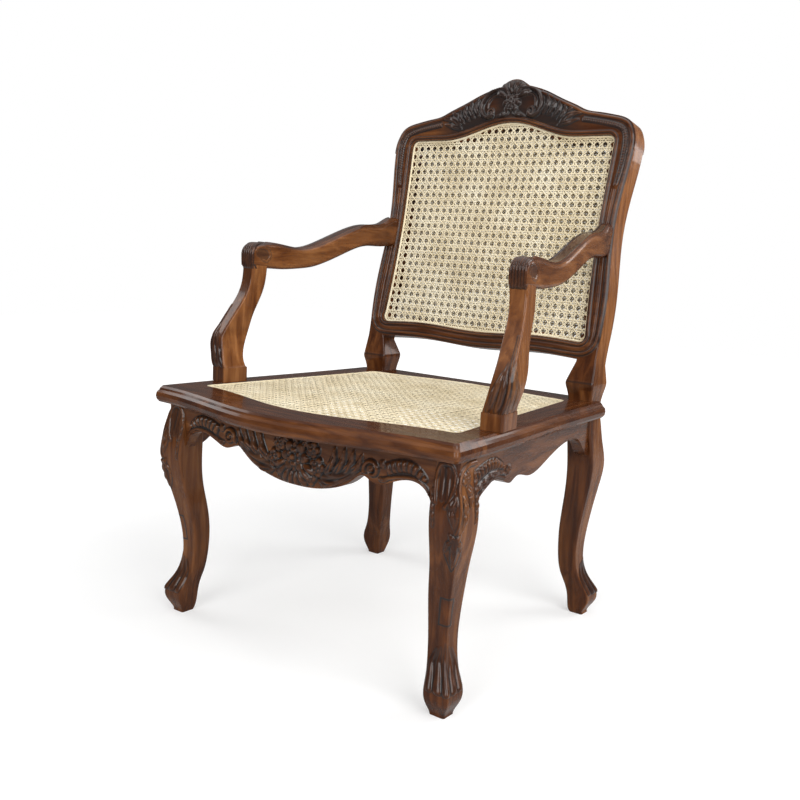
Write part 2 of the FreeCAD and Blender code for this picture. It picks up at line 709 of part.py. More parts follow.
def support_blank():
    """Right arm support: square block on the seat, then an S up to the knuckle."""
    frame = support_frame()
    width, depth, block = size("support_width"), size("support_depth"), size("support_block")
    top = size("arm_front_height") - size("arm_thickness") * 1.2
    lean = size("support_setback") + size("support_neck") * 0.55
    neck = size("support_neck")
    bulge = size("support_bulge")
    base_rows = [(0, 0, 0, depth, width), (block, 0, 0, depth, width)]
    rows = [
        (block, 0, 0, depth * 0.94, width * 0.95),
        (blend(block, top, 0.1), 0.5 * bulge, -0.04 * lean, depth * 0.9, width * 0.97),
        (blend(block, top, 0.22), 0.9 * bulge, 0.02 * lean, depth, width * 0.94),
        (blend(block, top, 0.30), bulge, 0.1 * lean, depth * 1.08, width * 0.86),
        (blend(block, top, 0.41), 0.9 * bulge, 0.27 * lean, depth, width * 0.79),
        (blend(block, top, 0.57), 0.6 * bulge, 0.54 * lean, blend(neck, depth, 0.4), width * 0.76),
        (blend(block, top, 0.71), 0.4 * bulge, 0.8 * lean, blend(neck, depth, 0.12), width * 0.75),
        (blend(block, top, 0.85), 0.25 * bulge, 0.96 * lean, neck, width * 0.77),
        (top + size("arm_thickness") * 0.2, 0, lean, neck, width * 0.8),
    ]
    foot, stem = [
        loft(name, [
            section(across, deep, size("leg_round"), frame.multiply(level(out, shift, rise)))
            for rise, out, shift, deep, across in stations
        ])
        for name, stations in (("support_foot", base_rows), ("support_stem", rows))
    ]
    return fuse("support_blank", [foot, stem]), frame, lean, top


# Cane: one flat sheet of gaps for each opening, and the strip that holds its edge

def net_gaps(outline, place_z, pitch, gap):
    """Octagonal gaps on a square grid that lie clear inside an outline."""
    inner = Part.Face(outline)
    bounds = inner.BoundBox
    columns, rows = int(bounds.XLength / pitch), int(bounds.YLength / pitch)
    corner = gap * 0.29
    gaps = []
    for column in range(columns):
        for row in range(rows):
            x = bounds.Center.x + (column - (columns - 1) / 2) * pitch
            y = bounds.Center.y + (row - (rows - 1) / 2) * pitch
            ring = []
            for turn in range(4):
                flip = Rotation(Vector(0, 0, 1), 90 * turn)
                for point in ((gap / 2, corner - gap / 2), (gap / 2, gap / 2 - corner)):
                    ring.append(Vector(x, y, place_z) + flip.multVec(Vector(*point, 0)))
            wire = Part.makePolygon(ring + ring[:1])
            if all(inner.isInside(point, 0.01, True) for point in ring):
                gaps.append(wire)
    return gaps


def net(name, outline, base, direction):
    """Flat cane sheet in a caned opening: one holed face with thickness."""
    clear = outline(size("cane_ledge") + size("net_margin"), base)
    gaps = net_gaps(clear, base, size("net_pitch"), size("net_gap"))
    print(name, "gaps:", len(gaps))
    return prism(name, [outline(0, base)] + gaps, direction)


def strip(name, outline, base, direction):
    """Strip that follows the edge of a caned opening, from a base height along a direction."""
    return prism(name, [outline(0, base), outline(size("spline_width"), base)], direction)


# Joints: every tenon and dowel is made once and cut from the pieces that it enters

FRONT_FRAME = front_apron_frame()
SIDE_FRAME, SIDE_LENGTH = side_apron_frame()
REAR_FRAME = level(0, POST_Y, 0)
FRONT_SHOULDER = FRONT_LEG.x - size("leg_top_side") / 2
JOINT_Y = CORNER_Y + size("front_board_depth")
JOINT_Z = FRAME_UNDER + size("board_thickness") * 0.42
JOINT_X = (OPENING_FRONT_HALF - size("cane_ledge") + FRONT_HALF) / 2
REAR_JOINT_Y = POST_Y - size("post_depth") / 2 - size("dowel_diameter") * 1.5
ARM_END_V = (ARM_REAR_TOP - size("arm_thickness") * 0.66 - BACK_ORIGIN.z) / math.cos(RAKE)
UP = Vector(0, 0, 1)
ACROSS = Vector(1, 0, 0)
ALONG = Vector(0, 1, 0)
BACK_NORMAL = BACK_FRAME.Rotation.multVec(UP)

front_tenon = apron_tenon("front_tenon_right", FRONT_FRAME, FRONT_SHOULDER)
front_tenon_left = mirrored("front_tenon_left", front_tenon)
side_front_tenon = apron_tenon("side_front_tenon", SIDE_FRAME, size("leg_top_side") / 2)
side_rear_tenon = apron_tenon("side_rear_tenon", SIDE_FRAME, SIDE_LENGTH - size("post_depth") / 2)
rear_tenon = apron_tenon("rear_tenon_right", REAR_FRAME, POST_INNER)
rear_tenon_left = mirrored("rear_tenon_left", rear_tenon)

leg_pins, frame_pins, arm_pins, support_pins = [], [], [], []
support_solid, SUPPORT_FRAME, SUPPORT_LEAN, SUPPORT_TOP = support_blank()
for side, word in ((1, "right"), (-1, "left")):
    leg_pins.append(dowel("leg_pin_" + word, Vector(side * FRONT_LEG.x, FRONT_LEG.y, FRAME_UNDER), UP))
    arm_end = BACK_FRAME.multVec(Vector(side * ARM_REAR_X, ARM_END_V, BACK_FRONT))
    arm_pins.append(dowel("arm_pin_" + word, arm_end, BACK_NORMAL))
    rear_joint = Vector(side * POST_INNER, REAR_JOINT_Y, JOINT_Z)
    frame_pins.append(dowel("frame_pin_rear_" + word, rear_joint, ACROSS))
    for step in (-1, 1):
        across = JOINT_X + step * size("dowel_diameter") * 1.5
        joint = Vector(side * across, JOINT_Y, JOINT_Z)
        frame_pins.append(dowel(f"frame_pin_front_{word}_{step}", joint, ALONG))
        spot = SUPPORT_FRAME.multVec(Vector(0, step * size("support_depth") * 0.27, 0))
        spot.x *= side
        support_pins.append(dowel(f"support_pin_{word}_{step}", spot, UP))

leg_dowels = named(group("leg_dowel_group", leg_pins), "leg_dowels")
seat_frame_dowels = named(group("frame_dowel_group", frame_pins), "seat_frame_dowels")
arm_back_dowels = named(group("arm_dowel_group", arm_pins), "arm_back_dowels")
arm_support_dowels = named(group("support_dowel_group", support_pins), "arm_support_dowels")

# Front legs
leg_solid = front_leg_blank()
leg_solid_left = mirrored("leg_solid_left", leg_solid)
front_leg = cut("front_leg", leg_solid, [front_tenon, side_front_tenon, leg_dowels])
named(front_leg, "front_leg_right")
named(mirrored("front_leg_mirror", front_leg), "front_leg_left")

# Back frame: the cane opening runs through it, with a rabbet for the cane in front and one behind
far = size("back_thickness") * 2
through = back_prism("back_through", back_opening(size("cane_ledge"), BACK_REAR - far / 4), far)
front_rabbet = back_prism("back_rabbet", back_opening(0, -size("cane_thickness")), far)
rear_rabbet = back_prism("rear_rabbet", back_opening(0, REAR_CANE + size("cane_thickness") - far), far)
caned = [through, front_rabbet, rear_rabbet]
post_blank = rear_post_blank()
post_blank_left = mirrored("post_blank_left", post_blank)
stile_rail_tenon, stile_crest_tenon = rail_tenon(), crest_tenon()
post_mortises = [side_rear_tenon, rear_tenon, stile_rail_tenon, arm_back_dowels]
post_cut = cut("rear_post_cut", post_blank, caned + post_mortises)
rear_post = named(fuse("rear_post", [post_cut, stile_crest_tenon]), "rear_post_right")
named(mirrored("rear_post_mirror", rear_post), "rear_post_left")
crest_mortises = [stile_crest_tenon, mirrored("crest_tenon_left", stile_crest_tenon)]
named(cut("crest", crest_blank(), caned + crest_mortises), "crest_rail")
rail_cut = cut("lower_rail_cut", lower_rail_blank(), caned + [post_blank, post_blank_left])
rail_pieces = [rail_cut, stile_rail_tenon, mirrored("rail_tenon_left", stile_rail_tenon)]
named(fuse("lower_rail", rail_pieces), "lower_back_rail")

# Aprons
front_board = apron_board("front_apron_board", FRONT_FRAME, -FRONT_LEG.x, FRONT_LEG.x, front_apron_edge())
front_scribed = cut("front_apron_scribed", front_board, [leg_solid, leg_solid_left])
named(fuse("front_apron_whole", [front_scribed, front_tenon, front_tenon_left]), "front_apron")
side_board = apron_board("side_apron_board", SIDE_FRAME, 0, SIDE_LENGTH, side_apron_edge())
side_scribed = cut("side_apron_scribed", side_board, [leg_solid, post_blank])
side_apron = fuse("side_apron_whole", [side_scribed, side_front_tenon, side_rear_tenon])
named(side_apron, "side_apron_right")
named(mirrored("side_apron_mirror", side_apron), "side_apron_left")
rear_board = apron_board("rear_apron_board", REAR_FRAME, -POST_X, POST_X, rear_apron_edge())
rear_scribed = cut("rear_apron_scribed", rear_board, [post_blank, post_blank_left])
named(fuse("rear_apron_whole", [rear_scribed, rear_tenon, rear_tenon_left]), "rear_apron")


# Seat frame boards: the front board runs full width, the sides and rear are dowelled to it and each other

def region(name, x, y, width):
    """Part of the seat frame that becomes one board: from a near left corner, far to the rear and up."""
    made = doc.addObject("Part::Box", name)
    made.setExpression("Length", width)
    made.setExpression("Width", "sizes.seat_front_width * 2")
    made.setExpression("Height", "sizes.seat_height * 2")
    made.Placement = level(x, y, 0)
    return made


ring = cut("seat_ring_notched", seat_ring(), [post_blank, post_blank_left])
wide = size("seat_front_width")
front_region = region("front_region", -wide, JOINT_Y - 2 * wide, "sizes.seat_front_width * 2")
side_region = region("side_region", POST_INNER, JOINT_Y, "sizes.seat_front_width")
between_posts = "sizes.seat_rear_width - sizes.post_inset * 2 - sizes.post_width"
rear_region = region("rear_region", -POST_INNER, JOINT_Y, between_posts)
front_ring = common("front_ring", ring, front_region)
side_ring = common("side_ring", ring, side_region)
rear_ring = common("rear_ring", ring, rear_region)
named(cut("front_board", front_ring, [leg_dowels, seat_frame_dowels]), "seat_board_front")
side_seat_board = cut("side_seat_board", side_ring, [arm_support_dowels, seat_frame_dowels])
named(side_seat_board, "seat_board_right")
named(mirrored("side_seat_mirror", side_seat_board), "seat_board_left")
named(cut("rear_board", rear_ring, [seat_frame_dowels]), "seat_board_rear")

# Arms
arm_trimmed = cut("arm_trimmed", arm_blank(), [behind_back()])
tenon_place = SUPPORT_FRAME.multiply(level(0, SUPPORT_LEAN, SUPPORT_TOP - size("tenon_depth")))
tenon_long, tenon_tall = "sizes.support_neck / 2", "sizes.tenon_depth * 2"
arm_tenon = box("arm_tenon", "sizes.tenon_thickness", tenon_long, tenon_tall, tenon_place)
support_cut = cut("support_cut", support_solid, [arm_trimmed, arm_support_dowels])
support = named(fuse("support", [support_cut, arm_tenon]), "arm_support_right")
named(mirrored("support_mirror", support), "arm_support_left")
arm = named(cut("arm", arm_trimmed, [arm_tenon, arm_back_dowels]), "arm_rest_right")
named(mirrored("arm_mirror", arm), "arm_rest_left")

# Cane
cane_floor = SEAT_TOP - size("seat_rabbet")
spline_base = cane_floor + size("cane_thickness")
sheet_up = Vector(0, 0, size("cane_thickness"))
spline_up = Vector(0, 0, SEAT_TOP - spline_base)
binder_up = Vector(0, 0, size("binder_height"))
named(net("seat_net", seat_opening, cane_floor, sheet_up), "seat_cane_panel")
named(strip("seat_strip", seat_opening, spline_base, spline_up), "seat_cane_spline")
named(on_back(net("back_net", back_opening, -size("cane_thickness"), sheet_up)), "back_cane_panel")
named(on_back(strip("back_strip", back_opening, 0, binder_up)), "back_cane_spline")
named(on_back(net("rear_net", back_opening, REAR_CANE, sheet_up)), "rear_cane_panel")
named(on_back(strip("rear_strip", back_opening, RAIL_REAR, binder_up)), "rear_cane_spline")

NODES = [
    "front_leg_right", "front_leg_left", "rear_post_right", "rear_post_left",
    "front_apron", "side_apron_right", "side_apron_left", "rear_apron",
    "seat_board_front", "seat_board_right", "seat_board_left", "seat_board_rear",
    "seat_cane_panel", "seat_cane_spline", "crest_rail", "lower_back_rail",
    "back_cane_panel", "back_cane_spline", "rear_cane_panel", "rear_cane_spline",
    "arm_rest_right", "arm_rest_left",
    "arm_support_right", "arm_support_left", "leg_dowels", "seat_frame_dowels",
    "arm_back_dowels", "arm_support_dowels",
]

# Everything is checked before anything is written
doc.recompute()
for made in doc.Objects:
    if "Invalid" in made.State or "Error" in made.State:
        raise RuntimeError(f"{made.Label} failed to build")
finished = {label: doc.getObjectsByLabel(label)[0] for label in NODES}
for label, made in finished.items():
    if made.Shape.isNull() or not made.Shape.isValid():
        raise RuntimeError(f"{label} has no valid shape")

os.makedirs("parts", exist_ok=True)
whole = FreeCAD.BoundBox()
for label, made in finished.items():
    made.Shape.exportStep(f"parts/{label}.step")
    whole.add(made.Shape.BoundBox)
    print(f"{label}: {len(made.Shape.Solids)} solid, {made.Shape.Volume / 1000:.1f} cm3")
for axis in "XYZ":
    low, high = getattr(whole, axis + "Min"), getattr(whole, axis + "Max")
    print(f"overall {axis}: {low:.1f} to {high:.1f}")
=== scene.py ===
# %% [markdown]
# # A caned armchair
#
# The wooden frame of this chair is already measured and made: its legs, posts, aprons, boards, rails
# and arms are loaded here as fixed parts that are never moved. What is left is what a carver, a caner
# and a polisher do afterwards, and each of their jobs is a step below. Every new piece is made where it
# belongs, in metres, with the floor at z = 0 and the front of the chair towards -Y.

# %% Load the frame
import math

import bmesh
import bpy
import numpy as np
from mathutils import Matrix, Vector
from mathutils.bvhtree import BVHTree


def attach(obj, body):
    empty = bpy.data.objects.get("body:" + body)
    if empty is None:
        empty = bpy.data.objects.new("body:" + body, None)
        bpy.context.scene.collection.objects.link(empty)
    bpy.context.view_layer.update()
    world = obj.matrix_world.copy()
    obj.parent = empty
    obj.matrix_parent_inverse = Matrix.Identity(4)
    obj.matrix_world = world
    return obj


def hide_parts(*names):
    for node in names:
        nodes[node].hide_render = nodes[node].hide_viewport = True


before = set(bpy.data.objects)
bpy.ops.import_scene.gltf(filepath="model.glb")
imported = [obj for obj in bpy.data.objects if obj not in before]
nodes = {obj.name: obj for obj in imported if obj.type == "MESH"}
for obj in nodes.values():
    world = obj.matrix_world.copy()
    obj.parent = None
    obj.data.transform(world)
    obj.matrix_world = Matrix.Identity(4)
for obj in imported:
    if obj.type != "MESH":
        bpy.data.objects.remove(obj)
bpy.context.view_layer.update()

# %% [markdown]
# ## The view
#
# The camera stands to the right of the chair, a little above the arms, and looks slightly down. Its
# place, its lens and the small roll of the picture were found from the chair's mirrored pairs: the
# legs, arms and posts on the two sides. A camera looks along its own -Z axis, so its turn is written as
# a matrix whose columns are the picture's right, the picture's up and the way back to the lens.

# %% Camera
scene = bpy.context.scene
EYE = Vector((1.0577, -1.4109, 0.7067))
AZIMUTH, PITCH, ROLL = (math.radians(angle) for angle in (37.087, 9.228, 2.853))
SENSOR_WIDTH, FOCAL_LENGTH = 36, 42.86

level_back = Vector((math.sin(AZIMUTH), -math.cos(AZIMUTH), 0))
backward = level_back * math.cos(PITCH) + Vector((0, 0, math.sin(PITCH)))
level_right = (-backward).cross(Vector((0, 0, 1))).normalized()
level_up = level_right.cross(-backward)
right = level_right * math.cos(ROLL) + level_up * math.sin(ROLL)
up = level_up * math.cos(ROLL) - level_right * math.sin(ROLL)

lens = bpy.data.cameras.new("view")
lens.sensor_width = SENSOR_WIDTH
lens.lens = FOCAL_LENGTH
camera = bpy.data.objects.new("view", lens)
camera.matrix_world = Matrix.Translation(EYE) @ Matrix((right, up, backward)).transposed().to_4x4()
scene.collection.objects.link(camera)
scene.camera = camera
scene.view_settings.view_transform = "Standard"
print("camera", round((EYE - Vector((0, 0, 0.5))).length, 2), "m from the middle of the chair")

# %% [markdown]
# ## Finishes as arithmetic
#
# A finish is a small tree of nodes. Wiring it by hand is slow to read, so one class stands for a
# socket: sums and products of sockets add Math nodes by themselves, and one method adds any other node
# from its type, its settings and what goes into it. The rest of the lesson then writes a finish the way
# it would be described.

# %% Sockets with arithmetic
class Tone:
    """One output socket in a finish, on which arithmetic can be done."""

    def __init__(self, tree, socket=None):
        self.tree = tree
        self.socket = socket

    def node(self, kind, inputs=None, out=0, stops=None, **settings):
        """Add a node of a kind with its settings, feed its inputs, and give one of its outputs."""
        made = self.tree.nodes.new("ShaderNode" + kind)
        for name, value in settings.items():
            setattr(made, name, value)
        if stops:
            while len(made.color_ramp.elements) < len(stops):
                made.color_ramp.elements.new(0.5)
            for element, (place, colour) in zip(made.color_ramp.elements, stops):
                element.position = place
                element.color = (*colour, 1)
        for key, value in (inputs or {}).items():
            if isinstance(value, Tone):
                self.tree.links.new(value.socket, made.inputs[key])
            else:
                made.inputs[key].default_value = value
        return Tone(self.tree, made.outputs[out] if made.outputs else None)

    def math(self, operation, first, second=0.0, clamp=False):
        """One Math node."""
        return self.node("Math", {0: first, 1: second}, operation=operation, use_clamp=clamp)

    def __add__(self, other):
        return self.math("ADD", self, other)

    def __sub__(self, other):
        return self.math("SUBTRACT", self, other)

    def __rsub__(self, other):
        return self.math("SUBTRACT", other, self)

    def __mul__(self, other):
        return self.math("MULTIPLY", self, other)

    __radd__ = __add__
    __rmul__ = __mul__

    def size(self):
        """The value without its sign."""
        return self.math("ABSOLUTE", self)

    def clamped(self):
        """The value kept between 0 and 1."""
        return self.math("ADD", self, 0.0, clamp=True)

    def past(self, limit, slope):
        """0 up to a limit, and from there up to 1 with a slope."""
        return ((self - limit) * slope).clamped()

    def axis(self, name):
        """One coordinate of a place."""
        return self.node("SeparateXYZ", {0: self}, out=name)

    def table(self, rows):
        """A number read off rows of (place, number) by this value, along straight lines between them."""
        return self.node("ValToRGB", {0: self}, stops=[(place, (number,) * 3) for place, number in rows])

    def mix(self, first, second):
        """Colour that goes from first to second as this value goes from 0 to 1."""
        return self.node("Mix", {0: self, 6: first, 7: second}, out=2, data_type="RGBA")


def new_finish(name):
    """An empty finish, and a start for its arithmetic."""
    material = bpy.data.materials.new(name)
    material.use_nodes = True
    material.node_tree.nodes.clear()
    return material, Tone(material.node_tree)


def surface(start, inputs):
    """End a finish in one shader."""
    shader = start.node("BsdfPrincipled", inputs)
    start.node("OutputMaterial", {"Surface": shader})


print("sockets can be added, subtracted and multiplied, with numbers on either side")

# %% [markdown]
# ## Mahogany
#
# The wood is a red-brown mahogany with a straight, slightly wavy grain and short dark pores, under a
# semi-gloss lacquer. A flat picture of wood would break at every edge of a part. Noise in the chair's
# own coordinates, drawn out along the length of the part, runs on through the wood like real grain. A
# dark and a light wood are blended by a warmth: at random, because the stain came out uneven, and by
# painted light, lighter on the sides of parts and darker on their fronts. A near-black glossy glaze
# stays in the carving: the carver's pieces carry a value called glaze at each point, which says how
# much was left.

# %% Mahogany finish
UPRIGHT, ACROSS, ALONG = (9.0, 9.0, 0.9), (0.9, 9.0, 9.0), (9.0, 0.9, 9.0)
DARK_WOOD = [(0.30, (0.034, 0.010, 0.004)), (0.50, (0.064, 0.019, 0.006)), (0.70, (0.116, 0.036, 0.010))]
LIGHT_WOOD = [(0.30, (0.130, 0.042, 0.012)), (0.50, (0.230, 0.085, 0.026)), (0.70, (0.335, 0.142, 0.048))]
PORE, GLAZE = (0.030, 0.010, 0.007, 1), (0.012, 0.010, 0.010, 1)


def mahogany(name, stretch, warmth):
    """Lacquered mahogany with its grain along one axis, from a dark stain at 0 to a light one at 1; a
    warmth may also carry painted light.
    """
    material, start = new_finish(name)
    place = start.node("TexCoord", out="Object")
    drawn = start.node("Mapping", {"Vector": place, "Scale": stretch})
    grain = start.node("TexNoise", {"Vector": drawn, "Scale": 9.0, "Detail": 5.0, "Distortion": 0.6})
    pores = start.node("TexNoise", {"Vector": drawn, "Scale": 55.0, "Detail": 3.0})
    cloud = start.node("TexNoise", {"Vector": drawn, "Scale": 2.6, "Detail": 2.0})
    glaze = start.node("Attribute", out="Fac", attribute_name="glaze")
    dark = start.node("ValToRGB", {0: grain}, stops=DARK_WOOD)
    light = start.node("ValToRGB", {0: grain}, stops=LIGHT_WOOD)
    spread = (warmth(place) if callable(warmth) else warmth) + (cloud - 0.5) * 0.9
    wood = spread.clamped().mix(dark, light)
    streaked = (pores.past(0.56, 5.0) * 0.5).mix(wood, PORE)
    kept = (glaze * (0.75 + cloud * 0.5)).clamped()
    relief = start.node("Bump", {"Height": grain * 0.4 + pores, "Strength": 0.10, "Distance": 0.0006})
    surface(start, {
        "Base Color": kept.mix(streaked, GLAZE),
        "Roughness": 0.18 + pores * 0.16 + glaze * 0.14,
        "Normal": relief,
        "Specular IOR Level": 0.09,
        "Coat Weight": 0.3 + glaze * 0.25,
        "Coat Roughness": 0.07,
    })
    return material


print("mahogany from", DARK_WOOD[1][1], "to", LIGHT_WOOD[1][1])

# %% [markdown]
# The chair was stained dark. The sides of the back, the arms and the legs are then painted lighter and
# more orange than the seat, the fronts and the feet: painted light, as where light from the side falls
# on them. Such a change could be painted point by point on each mesh. Here it follows the place on the
# chair, which needs no painting of the meshes and crosses from part to part: the sides are what lies far
# enough from the middle line of an arm, or from the front of the back.

# %% Painted light on the sides of the back and the arms
MM = 0.001
RAKE = math.radians(10.5)
BACK_FOOT = Vector((0, 0.239329, 0.538))
UP_BACK = Vector((0, math.sin(RAKE), math.cos(RAKE)))
OUT_BACK = Vector((0, -math.cos(RAKE), math.sin(RAKE)))


def back_stain_and_light(place):
    """Painted light on the sides of the back; the dark stain on its front and below the seat."""
    from_front = place.node("VectorMath", {0: place, 1: OUT_BACK}, out="Value", operation="DOT_PRODUCT")
    depth = from_front - (BACK_FOOT.dot(OUT_BACK) + 0.006)
    # painted light: the sides of the back, above the seat, are made lighter as if lit from the side
    sides = (1 - depth.past(0.0, 700.0)) * place.axis("X").size().past(0.248, 120.0)
    return 0.12 + sides * place.axis("Z").past(0.36, 5.0) * 0.78


ARM_SLOPE = -46 / 393.34
ARM_MIDDLE = 300 + 122.671 * ARM_SLOPE


def arm_stain_and_light(place):
    """Painted light on the sides of the arms; the dark stain on their tops."""
    line = ARM_MIDDLE * MM + place.axis("Y") * ARM_SLOPE
    off = (place.axis("X").size() - line).size()
    # painted light on the sides, away from the middle line of the arm
    return 0.10 + off.past(0.0150, 500.0) * 0.47


def support_stain_and_light(place):
    """Painted light on the sides of the arm supports and painted shade on their fronts, most of all on the
    left.
    """
    x, y, z = (place.axis(name) for name in "XYZ")
    bow = ((z - 0.44) * 4.0).table([(0.08, 0.31), (0.17, 0.62), (0.30, 0.89), (0.53, 0.62), (0.85, 0.32)])
    off = (x.size() - y * ARM_SLOPE - (0.28 + bow * 0.02)).size()
    edge = 0.0130 + (0.54 - z).past(0.0, 30.0) * 0.003
    # painted light and shade: fronts darker on the left than on the right, sides lighter
    return 0.30 + x * 0.6 + off.past(edge, 500.0) * (0.42 - x * 0.7)


print("the back starts", BACK_FOOT.z, "m up, and the arms spread by", round(-ARM_SLOPE, 3), "mm per mm")

# %% [markdown]
# The legs sway in an S along their diagonal, so a straight middle line won't do for them. The sway is
# written down at a few heights, and a colour ramp in greys reads it off in between. On each leg the
# outer side is then painted lighter than the front, as light from the side would make it.

# %% Painted light on the sides of the legs
LEG_TOP, SLANT = 404, math.sqrt(0.5)
LEG_SHARES = np.array((0, 0.05, 0.095, 0.15, 0.21, 0.32, 0.44, 0.54, 0.65, 0.76, 0.87, 1.0))
FRONT_SWAY = np.array((1, 3.5, 5, -3.6, -14.5, -21, -17.6, -8.7, 2.4, 7.5, 3.75, 0))
REAR_SWAY = np.array((1, 3.5, 5, -5.0, -17.7, -25.2, -22, -15, -10, -9, -9, -9))
FRONT_LEG, REAR_LEG = (301, -265.671), (260, 270.329)


def leg_lit_sides(place, middle, sways):
    """1 on the outer sides of two legs, where light is painted, and 0 on their fronts, found from the
    middle of the swaying leg.
    """
    share = place.axis("Z") * (1 / (LEG_TOP * MM))
    swayed = share.table([(height, 0.5 + sway * 0.01) for height, sway in zip(LEG_SHARES, sways)])
    outward = (swayed - 0.5) * (100 * SLANT * MM)
    across = place.axis("X").size() - (middle[0] * MM + outward)
    along = place.axis("Y").size() - (abs(middle[1]) * MM + outward)
    return (across - along.size()).past(0.0, 300.0)


def leg_stain_and_light(place):
    """Painted shade: darker on the right leg than on the left one. Painted light: lighter on the outer
    sides. Darkest on the feet.
    """
    x = place.axis("X")
    foot = (0.125 - place.axis("Z")).past(0.0, 20.0)
    # painted shade on the right leg, painted light on the outer sides
    return 0.22 - x * 0.7 - foot * 0.3 + leg_lit_sides(place, FRONT_LEG, FRONT_SWAY) * (0.25 + x * 0.6)


def post_stain_and_light(place):
    """The back's stain and painted light, and below the seat painted light on the outer sides of the legs.
    """
    below = (0.42 - place.axis("Z")).past(0.0, 30.0)
    return back_stain_and_light(place) + below * leg_lit_sides(place, REAR_LEG, REAR_SWAY) * 0.4


print("front legs sway by", FRONT_SWAY.min(), "to", FRONT_SWAY.max(), "mm, rear legs by",
      REAR_SWAY.min(), "to", REAR_SWAY.max(), "mm")

# %% [markdown]
# Every group of parts gets a mahogany of its own, with the grain along the length of its parts: upright
# in legs, posts and supports, across in rails, and from front to back in arms and side boards.

# %% Stain the parts, with their painted light
def seat_warmth(place):
    """Dark, and darkest on the top of the seat."""
    return 0.12 - place.axis("Z").past(0.428, 400.0) * 0.3


posts = mahogany("mahogany_posts", UPRIGHT, post_stain_and_light)
cross_rails = mahogany("mahogany_cross_rails", ACROSS, back_stain_and_light)
arms = mahogany("mahogany_arms", ALONG, arm_stain_and_light)
supports = mahogany("mahogany_supports", UPRIGHT, support_stain_and_light)
legs = mahogany("mahogany_legs", UPRIGHT, leg_stain_and_light)
rails = mahogany("mahogany_rails", ACROSS, 0.12)
aprons = mahogany("mahogany_aprons", ACROSS, 0.28)
seat_rails = mahogany("mahogany_seat_rails", ACROSS, seat_warmth)
boards = mahogany("mahogany_boards", ALONG, seat_warmth)
STAINED = {
    aprons: ("front_apron", "rear_apron"),
    seat_rails: ("seat_board_front", "seat_board_rear"),
    cross_rails: ("crest_rail", "lower_back_rail"),
    boards: ("side_apron_", "seat_board_right", "seat_board_left"),
    arms: ("arm_rest_",),
    supports: ("arm_support_right", "arm_support_left"),
    posts: ("rear_post_",),
}


def polish(piece, finish):
    """Give a piece one finish and nothing else."""
    piece.data.materials.clear()
    piece.data.materials.append(finish)


for name, part in nodes.items():
    polish(part, next((finish for finish, starts in STAINED.items() if name.startswith(starts)), legs))
print("polished", len(nodes), "wooden parts")

# %% [markdown]
# ## Cane
#
# Woven cane is pale straw: slightly glossy on its bark side, a little darker and browner where the
# strands were split. A fine noise gives the fibres, and a broad one the uneven drying. Two noises are
# enough, because the pattern of the cane is woven as a mesh and not drawn on a flat sheet.

# %% Cane finish
def cane(name):
    """Pale split cane."""
    material, start = new_finish(name)
    place = start.node("TexCoord", out="Object")
    fibre = start.node("TexNoise", {"Vector": place, "Scale": 420.0, "Detail": 3.0})
    drying = start.node("TexNoise", {"Vector": place, "Scale": 14.0, "Detail": 4.0})
    straw = start.node("ValToRGB", {0: drying * 0.6 + fibre * 0.4}, stops=[
        (0.32, (0.610, 0.505, 0.315)),
        (0.50, (0.780, 0.675, 0.470)),
        (0.68, (0.870, 0.800, 0.620)),
    ])
    relief = start.node("Bump", {"Height": fibre, "Strength": 0.25, "Distance": 0.0003})
    surface(start, {
        "Base Color": straw,
        "Roughness": 0.42 + fibre * 0.2,
        "Normal": relief,
    })
    return material


straw = cane("split_cane")
print("finishes:", [material.name for material in (*STAINED, rails, legs, straw)])

# %% [markdown]
# ## Weaving the cane
#
# Hand caning is six strands deep: a pair of uprights, a pair across, and one along each diagonal, which
# weave over the one pair and under the other and leave an eight-sided hole. The pattern repeats every
# 16.7 mm, so only one square of it is woven here. Each strand is a small three-sided tube, made from a
# grid that is rolled up round a crooked line. Two Array modifiers then repeat the square, their result
# becomes a mesh, and what lies outside the edge of the opening is cut away.

# %% One square of the weave
PITCH_CANE, PAIR, OVER = 16.7, 0.13, 0.75
STRAND = ((-1.0, -0.35), (0.0, 0.55), (1.0, -0.35), (-1.0, -0.35))


def spread_grid(shape, columns, rows):
    """Add a grid of corners to a shape, and list them with their columns and rows."""
    made = bmesh.ops.create_grid(shape, x_segments=columns - 1, y_segments=rows - 1, size=0.5)["verts"]
    return [
        (vert, round((vert.co.x + 0.5) * (columns - 1)), round((vert.co.y + 0.5) * (rows - 1)))
        for vert in made
    ]


def lay_strand(shape, path, half):
    """Add one strand of a half width along a path, as a grid rolled into a three-sided tube."""
    heading = (Vector(path[-1]) - Vector(path[0])).normalized()
    aside = Vector((-heading.y, heading.x, 0)).normalized()
    for vert, step, edge in spread_grid(shape, len(path), len(STRAND)):
        sideways, rise = STRAND[edge]
        vert.co = Vector(path[step]) + aside * sideways * half + Vector((0, 0, rise))


def weave_square(width):
    """One square of cane, centred on a crossing of the two pairs, from strands of a half width."""
    shape = bmesh.new()
    half = PITCH_CANE / 2
    for off in (-PAIR * PITCH_CANE, PAIR * PITCH_CANE):
        lay_strand(shape, [(-half, off, -0.1), (0, off, 0.35), (half, off, -0.1)], width)
        lay_strand(shape, [(off, -half, 0.1), (off, 0, -0.35), (off, half, 0.1)], width)
    for x, y, over in ((1, 1, OVER), (1, -1, -OVER), (-1, -1, OVER), (-1, 1, -OVER)):
        middle = (half * x / 2, half * y / 2, 0)
        lay_strand(shape, [(half * x, 0, over), middle, (0, half * y, -over)], width)
    bmesh.ops.remove_doubles(shape, verts=shape.verts, dist=0.01)
    bmesh.ops.recalc_face_normals(shape, faces=shape.faces)
    return shape


square = weave_square(1.6)
print("one square of cane:", len(square.faces), "faces")
square.free()

